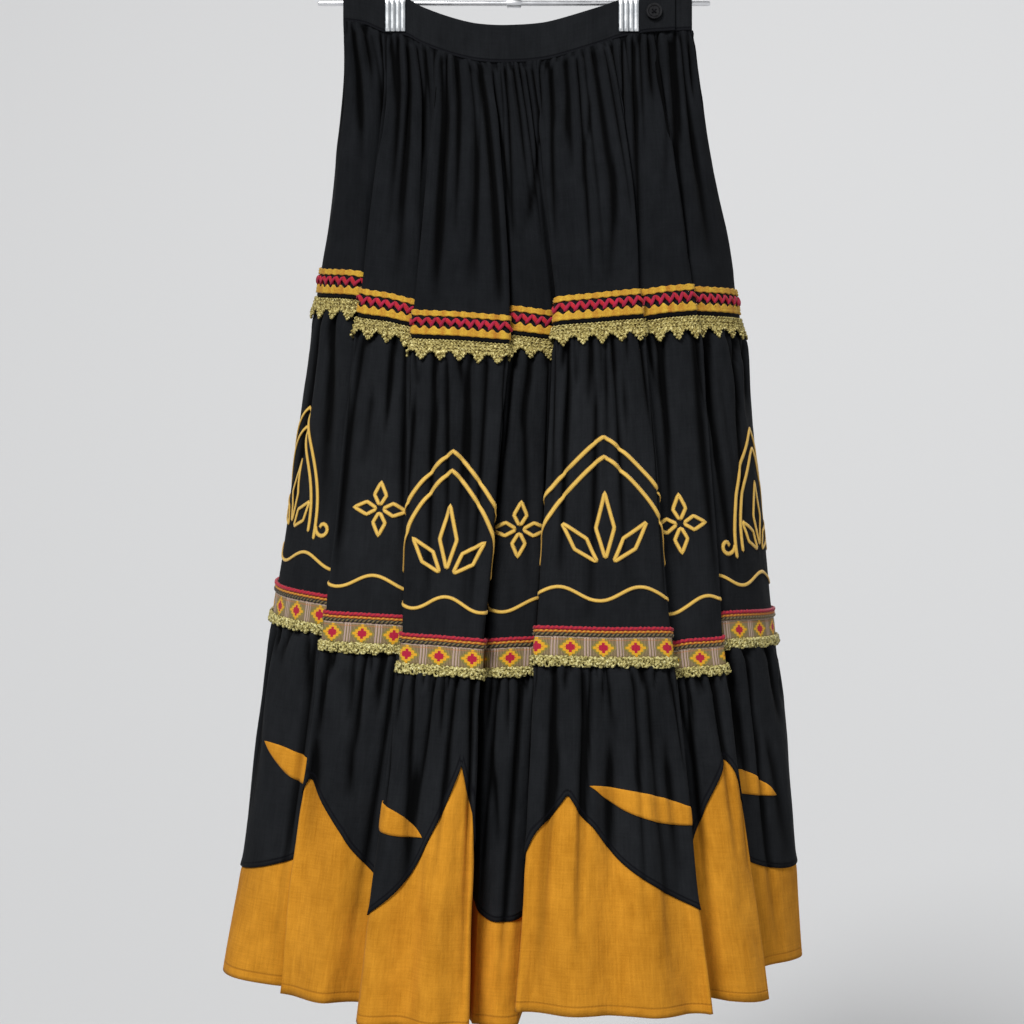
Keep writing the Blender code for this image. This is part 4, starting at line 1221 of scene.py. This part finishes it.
# Painted shade: the flanks and underside of each satin cord are made darker, leaving its outward crown
# bright.
flank_shade = board.ramp(board.gap(board.maths("FRACT", around), 0.25), 0.10, 0.2)
colour = board.mix(stroke_share, (0.76, 0.42, 0.050, 1), (1.0, 0.68, 0.14, 1))
board.feed(shader, "Base Color", board.mix(board.times(flank_shade, 0.6), colour, (0.30, 0.13, 0.012, 1)))
board.relief(shader, 0.5, 0.0004, stroke_share)
gold_design = cloth_object("gold_design", gold_lines, satin_gold, 0)
print("design faces:", len(gold_design.data.polygons))

# %% [markdown]
# ## Waistband and button
# The band is folded black cotton, flat where the clips grip it, and its buttoned end lies
# over the other at the right. It is one strip that runs past itself, given its thickness
# by Solidify. Two threads cross on the button.

# %% Waistband
OVERLAP_END, UNDER_END, OVERLAP_CLEAR, OVERLAP_LIFT = 0.905, 0.745, 0.705, 3.0 * MM


def band_points(turn, rise, out=0.0):
    share = -np.cos(np.radians(turn))
    front = np.where(np.sin(np.radians(turn)) > 0, 1, -1)
    lifted = OVERLAP_LIFT * np.clip((share - OVERLAP_CLEAR) / (UNDER_END - OVERLAP_CLEAR - 0.01), 0, 1)
    lifted = np.where((turn > 0) & (turn < 180), lifted, 0)
    x = (LEVELS[0][1] + LEVELS[0][2] * share) * MM
    y = BAND_Y - front * (waist_half(share) + out) * MM - lifted
    z = BAR_Z - curved(WAIST_SEAM, share) * MM
    return np.stack(np.broadcast_arrays(x, y, z + rise), -1)


first_turn = math.degrees(math.acos(-OVERLAP_END))
last_turn = math.degrees(math.acos(-UNDER_END)) - 360
turns = np.linspace(first_turn, last_turn, 421)[None, :]
rise = np.linspace(0, 1, 15)[:, None]
soft = 0.28 * soft_field(rise, np.linspace(0, 1, 421)[None, :], 3, 60, 77)
pucker = 0.22 * np.sin(turns * 4.1) * np.exp(-((rise - 0.1) / 0.12) ** 2)
points = band_points(turns, rise * BAND_HEIGHT, soft + pucker + 0.1 * np.sin(rise * math.pi))
length = np.concatenate(([0], np.cumsum(np.linalg.norm(np.diff(points[7], axis=0), axis=1))))
band_cotton = cotton("black_cotton_band", BLACK_DARK, BLACK_PALE, 0.015, 0.0022, BLACK_THREAD)
shape = bmesh.new()
lay_grid(shape, points, length[None, :], rise * BAND_HEIGHT, rise * BAND_HEIGHT)
waistband = cloth_object("waistband_cloth", shape, band_cotton, 2.2, "waistband")
soften(waistband, 0.6, 60)
print("waistband faces:", len(waistband.data.polygons))

# %% Button finish and thread
button_plastic, board, shader = open_material("button_plastic", 0.32, 0.0, 0.0, 0.3)
spot = board.spot()
swirl = board.noise(spot, 260, 3.0)
board.feed(shader, "Base Color", board.mix(board.ramp(swirl, 0.35, 0.7), (0.004, 0.004, 0.005, 1),
                                           (0.012, 0.012, 0.014, 1)))
board.feed(shader, "Roughness", board.ramp(swirl, -0.4, 2.2))
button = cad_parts["waistband_button"]
for slot in button.material_slots:
    slot.material = button_plastic
low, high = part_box("waistband_button")
centre = (Vector(low) + Vector(high)) / 2
shape = bmesh.new()
for lean in (45, 135):
    reach = Vector((math.cos(math.radians(lean)), 0, math.sin(math.radians(lean)))) * 2.5 * MM
    share = np.linspace(-1, 1, 9)
    path = np.array([centre + reach * s for s in share])
    path[:, 1] = low[1] - 0.1 * MM + 0.8 * MM * share ** 2
    thread(shape, path, np.tile((0.0, -1.0, 0.0), (9, 1)), 0.9, 0.9, 6)
button_thread = cloth_object("button_thread", shape, black_tape, 0)
print("button at", [round(value, 4) for value in centre])

# %% [markdown]
# ## Hanger
# The hanger is bright plated steel: a round bar, a hub with a bent hook, and two clips
# whose front jaws are pressed into four upright ribs. Each is a swept or spun shape with
# softened edges, in place of the faceted solids.

# %% Steel finish
bright_steel, board, shader = open_material("bright_plated_steel", 0.2, 0.0, 1.0, 0.5)
spot = board.spot()
smudge = board.noise(spot, 90, 4.0)
board.feed(shader, "Roughness", board.ramp(smudge, -1.0, 3.2))
board.feed(shader, "Base Color", board.mix(board.ramp(smudge, 0.3, 0.7), (0.72, 0.73, 0.75, 1),
                                           (0.84, 0.85, 0.87, 1)))
board.relief(shader, 0.12, 0.0003, board.noise(spot, 700, 2.0))


# %% Bar, hub and sleeves
def spun(name, profile, x, *nodes):
    """Spin a closed profile of (along, radius) about the line of the bar."""
    shape = bmesh.new()
    verts = [shape.verts.new((x + along * MM, 0, BAR_Z + radius * MM)) for along, radius in profile]
    edges = [shape.edges.new(pair) for pair in zip(verts, verts[1:])]
    bmesh.ops.spin(shape, geom=verts + edges, axis=(1, 0, 0), cent=(0, 0, BAR_Z), steps=48,
                   angle=2 * math.pi, use_merge=True)
    bmesh.ops.remove_doubles(shape, verts=shape.verts, dist=1e-6)
    bmesh.ops.recalc_face_normals(shape, faces=shape.faces)
    item = finish_mesh(name, shape, [bright_steel])
    item.data.set_sharp_from_angle(angle=math.radians(45))
    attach(item, "root")
    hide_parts(*nodes)
    return item


def tube_profile(half, inner, outer):
    """A tube's section with its outer corners rounded, closed on itself."""
    soft = 0.3
    bevel = soft * 0.3
    return ((-half, inner), (-half, outer - soft), (-half + bevel, outer - bevel), (-half + soft, outer),
            (half - soft, outer), (half - bevel, outer - bevel), (half, outer - soft), (half, inner),
            (-half, inner))


BAR_PROFILE = ((-190, 0), (-190, 1.6), (-189.7, 2.2), (-189, 2.5), (0, 2.5),
               (189, 2.5), (189.7, 2.2), (190, 1.6), (190, 0))
bar = spun("plated_bar", BAR_PROFILE, 0, "hanger_bar")
spun("plated_hub", tube_profile(7, 2.9, 4.3), 0, "hanger_hub")
CLIP_XS = (("left", -114.5 * MM), ("right", 110.6 * MM))
for side, x in CLIP_XS:
    spun(f"plated_{side}_sleeve", tube_profile(9.25, 2.8, 3.8), x, f"clip_{side}_sleeve")
print("bar faces:", len(bar.data.polygons))

# %% Clip jaws
CLIP_WIDTH, CLIP_RIB, CLIP_RIBS = 19.5, 0.8, 4
pressed_steel, board, shader = open_material("pressed_clip_steel", 0.28, 0.0, 1.0, 0.5)
run, fall = board.split(board.uv())
rib_wave = board.maths("COSINE", board.times(run, 2 * math.pi * CLIP_RIBS / (CLIP_WIDTH * MM)))
# Painted shade in the grooves between the ribs, over the ribbed lower part of the jaw.
groove = board.times(board.ramp(rib_wave, 0.1, 0.9), board.ramp(fall, 0.62, 0.56))
spot = board.spot()
smudge = board.noise(spot, 120, 4.0)
colour = board.mix(board.ramp(smudge, 0.3, 0.7), (0.64, 0.66, 0.68, 1), (0.84, 0.86, 0.87, 1))
board.feed(shader, "Base Color", board.mix(groove, colour, (0.17, 0.19, 0.21, 1)))
board.feed(shader, "Roughness", board.ramp(smudge, -0.6, 2.2))
FRONT_JAW = ((-11.5, -29.8), (-11.5, -14), (-11.6, 2), (-11.4, 6.2), (-9.4, 8.6), (-4.6, 7.6), (-1.9, 4.2))
BACK_JAW = ((-4.5, -29.8), (-4.5, -18), (-4.4, -10), (-1.6, -4.4))


def smooth_path(points, count):
    """Even points on a soft curve through a short list."""
    points = np.array(points, float)
    knots = np.concatenate(([0], np.cumsum(np.linalg.norm(np.diff(points, axis=0), axis=1))))
    where = np.linspace(0, knots[-1], count)
    return np.stack([curved(list(zip(knots, column)), where) for column in points.T], 1)


def jaw(name, x, profile, ribbed, count, node):
    path = smooth_path(profile, count)
    across = np.linspace(-0.5, 0.5, 65)
    ribs = 0.5 - 0.5 * np.cos(2 * math.pi * CLIP_RIBS * (across + 0.5))
    run = np.linspace(0, 1, count)
    flat = np.clip((0.62 - run) / 0.06, 0, 1) * np.clip(run / 0.04, 0, 1)
    depth = path[:, 0][:, None] - (CLIP_RIB * ribs[None, :] ** 0.8 * flat[:, None] if ribbed else 0)
    points = np.stack(np.broadcast_arrays((x / MM + across[None, :] * CLIP_WIDTH), depth,
                                          BAR_Z / MM + path[:, 1][:, None]), -1) * MM
    shape = bmesh.new()
    lay_grid(shape, points, across[None, :] * CLIP_WIDTH * MM, run[:, None])
    item = cloth_object(name, shape, pressed_steel, 1.0, node)
    soften(item, 0.3, 50)
    return item


for side, x in CLIP_XS:
    front = jaw(f"plated_{side}_front_jaw", x, FRONT_JAW, True, 46, f"clip_{side}_front")
    jaw(f"plated_{side}_back_jaw", x, BACK_JAW, False, 16, f"clip_{side}_back")
print("jaw faces:", len(front.data.polygons))

# %% Hook
WIRE, INSIDE = 3.5, 20
route = [(0, -88.7), (0, -80), (0, -70), (0, -62), (2, -55), (9, -46)]
for step in range(31):
    angle = math.radians(-38 + 234 * step / 30)
    route.append(((INSIDE + WIRE / 2) * math.cos(angle), -INSIDE + (INSIDE + WIRE / 2) * math.sin(angle)))
route.append((route[-1][0] - 1.5, route[-1][1] - 5))
path = smooth_path(route, 150)
centres = np.stack((path[:, 0], path[:, 0] * 0, path[:, 1]), 1) * MM
run = np.linspace(0, 1, 150)
tip = np.sqrt(np.clip(1 - (1 - np.clip((1 - run) / 0.012, 0, 1)) ** 2, 0, 1))
foot = np.where(run < 0.001, 0.0, 1.0)
shape = bmesh.new()
thread(shape, centres, np.tile((0.0, -1.0, 0.0), (150, 1)), WIRE * tip * foot, WIRE * tip * foot, 20)
hook = cloth_object("plated_hook", shape, bright_steel, 0, "hanger_hook")
print("hook faces:", len(hook.data.polygons))

# %% End
print("scene built")
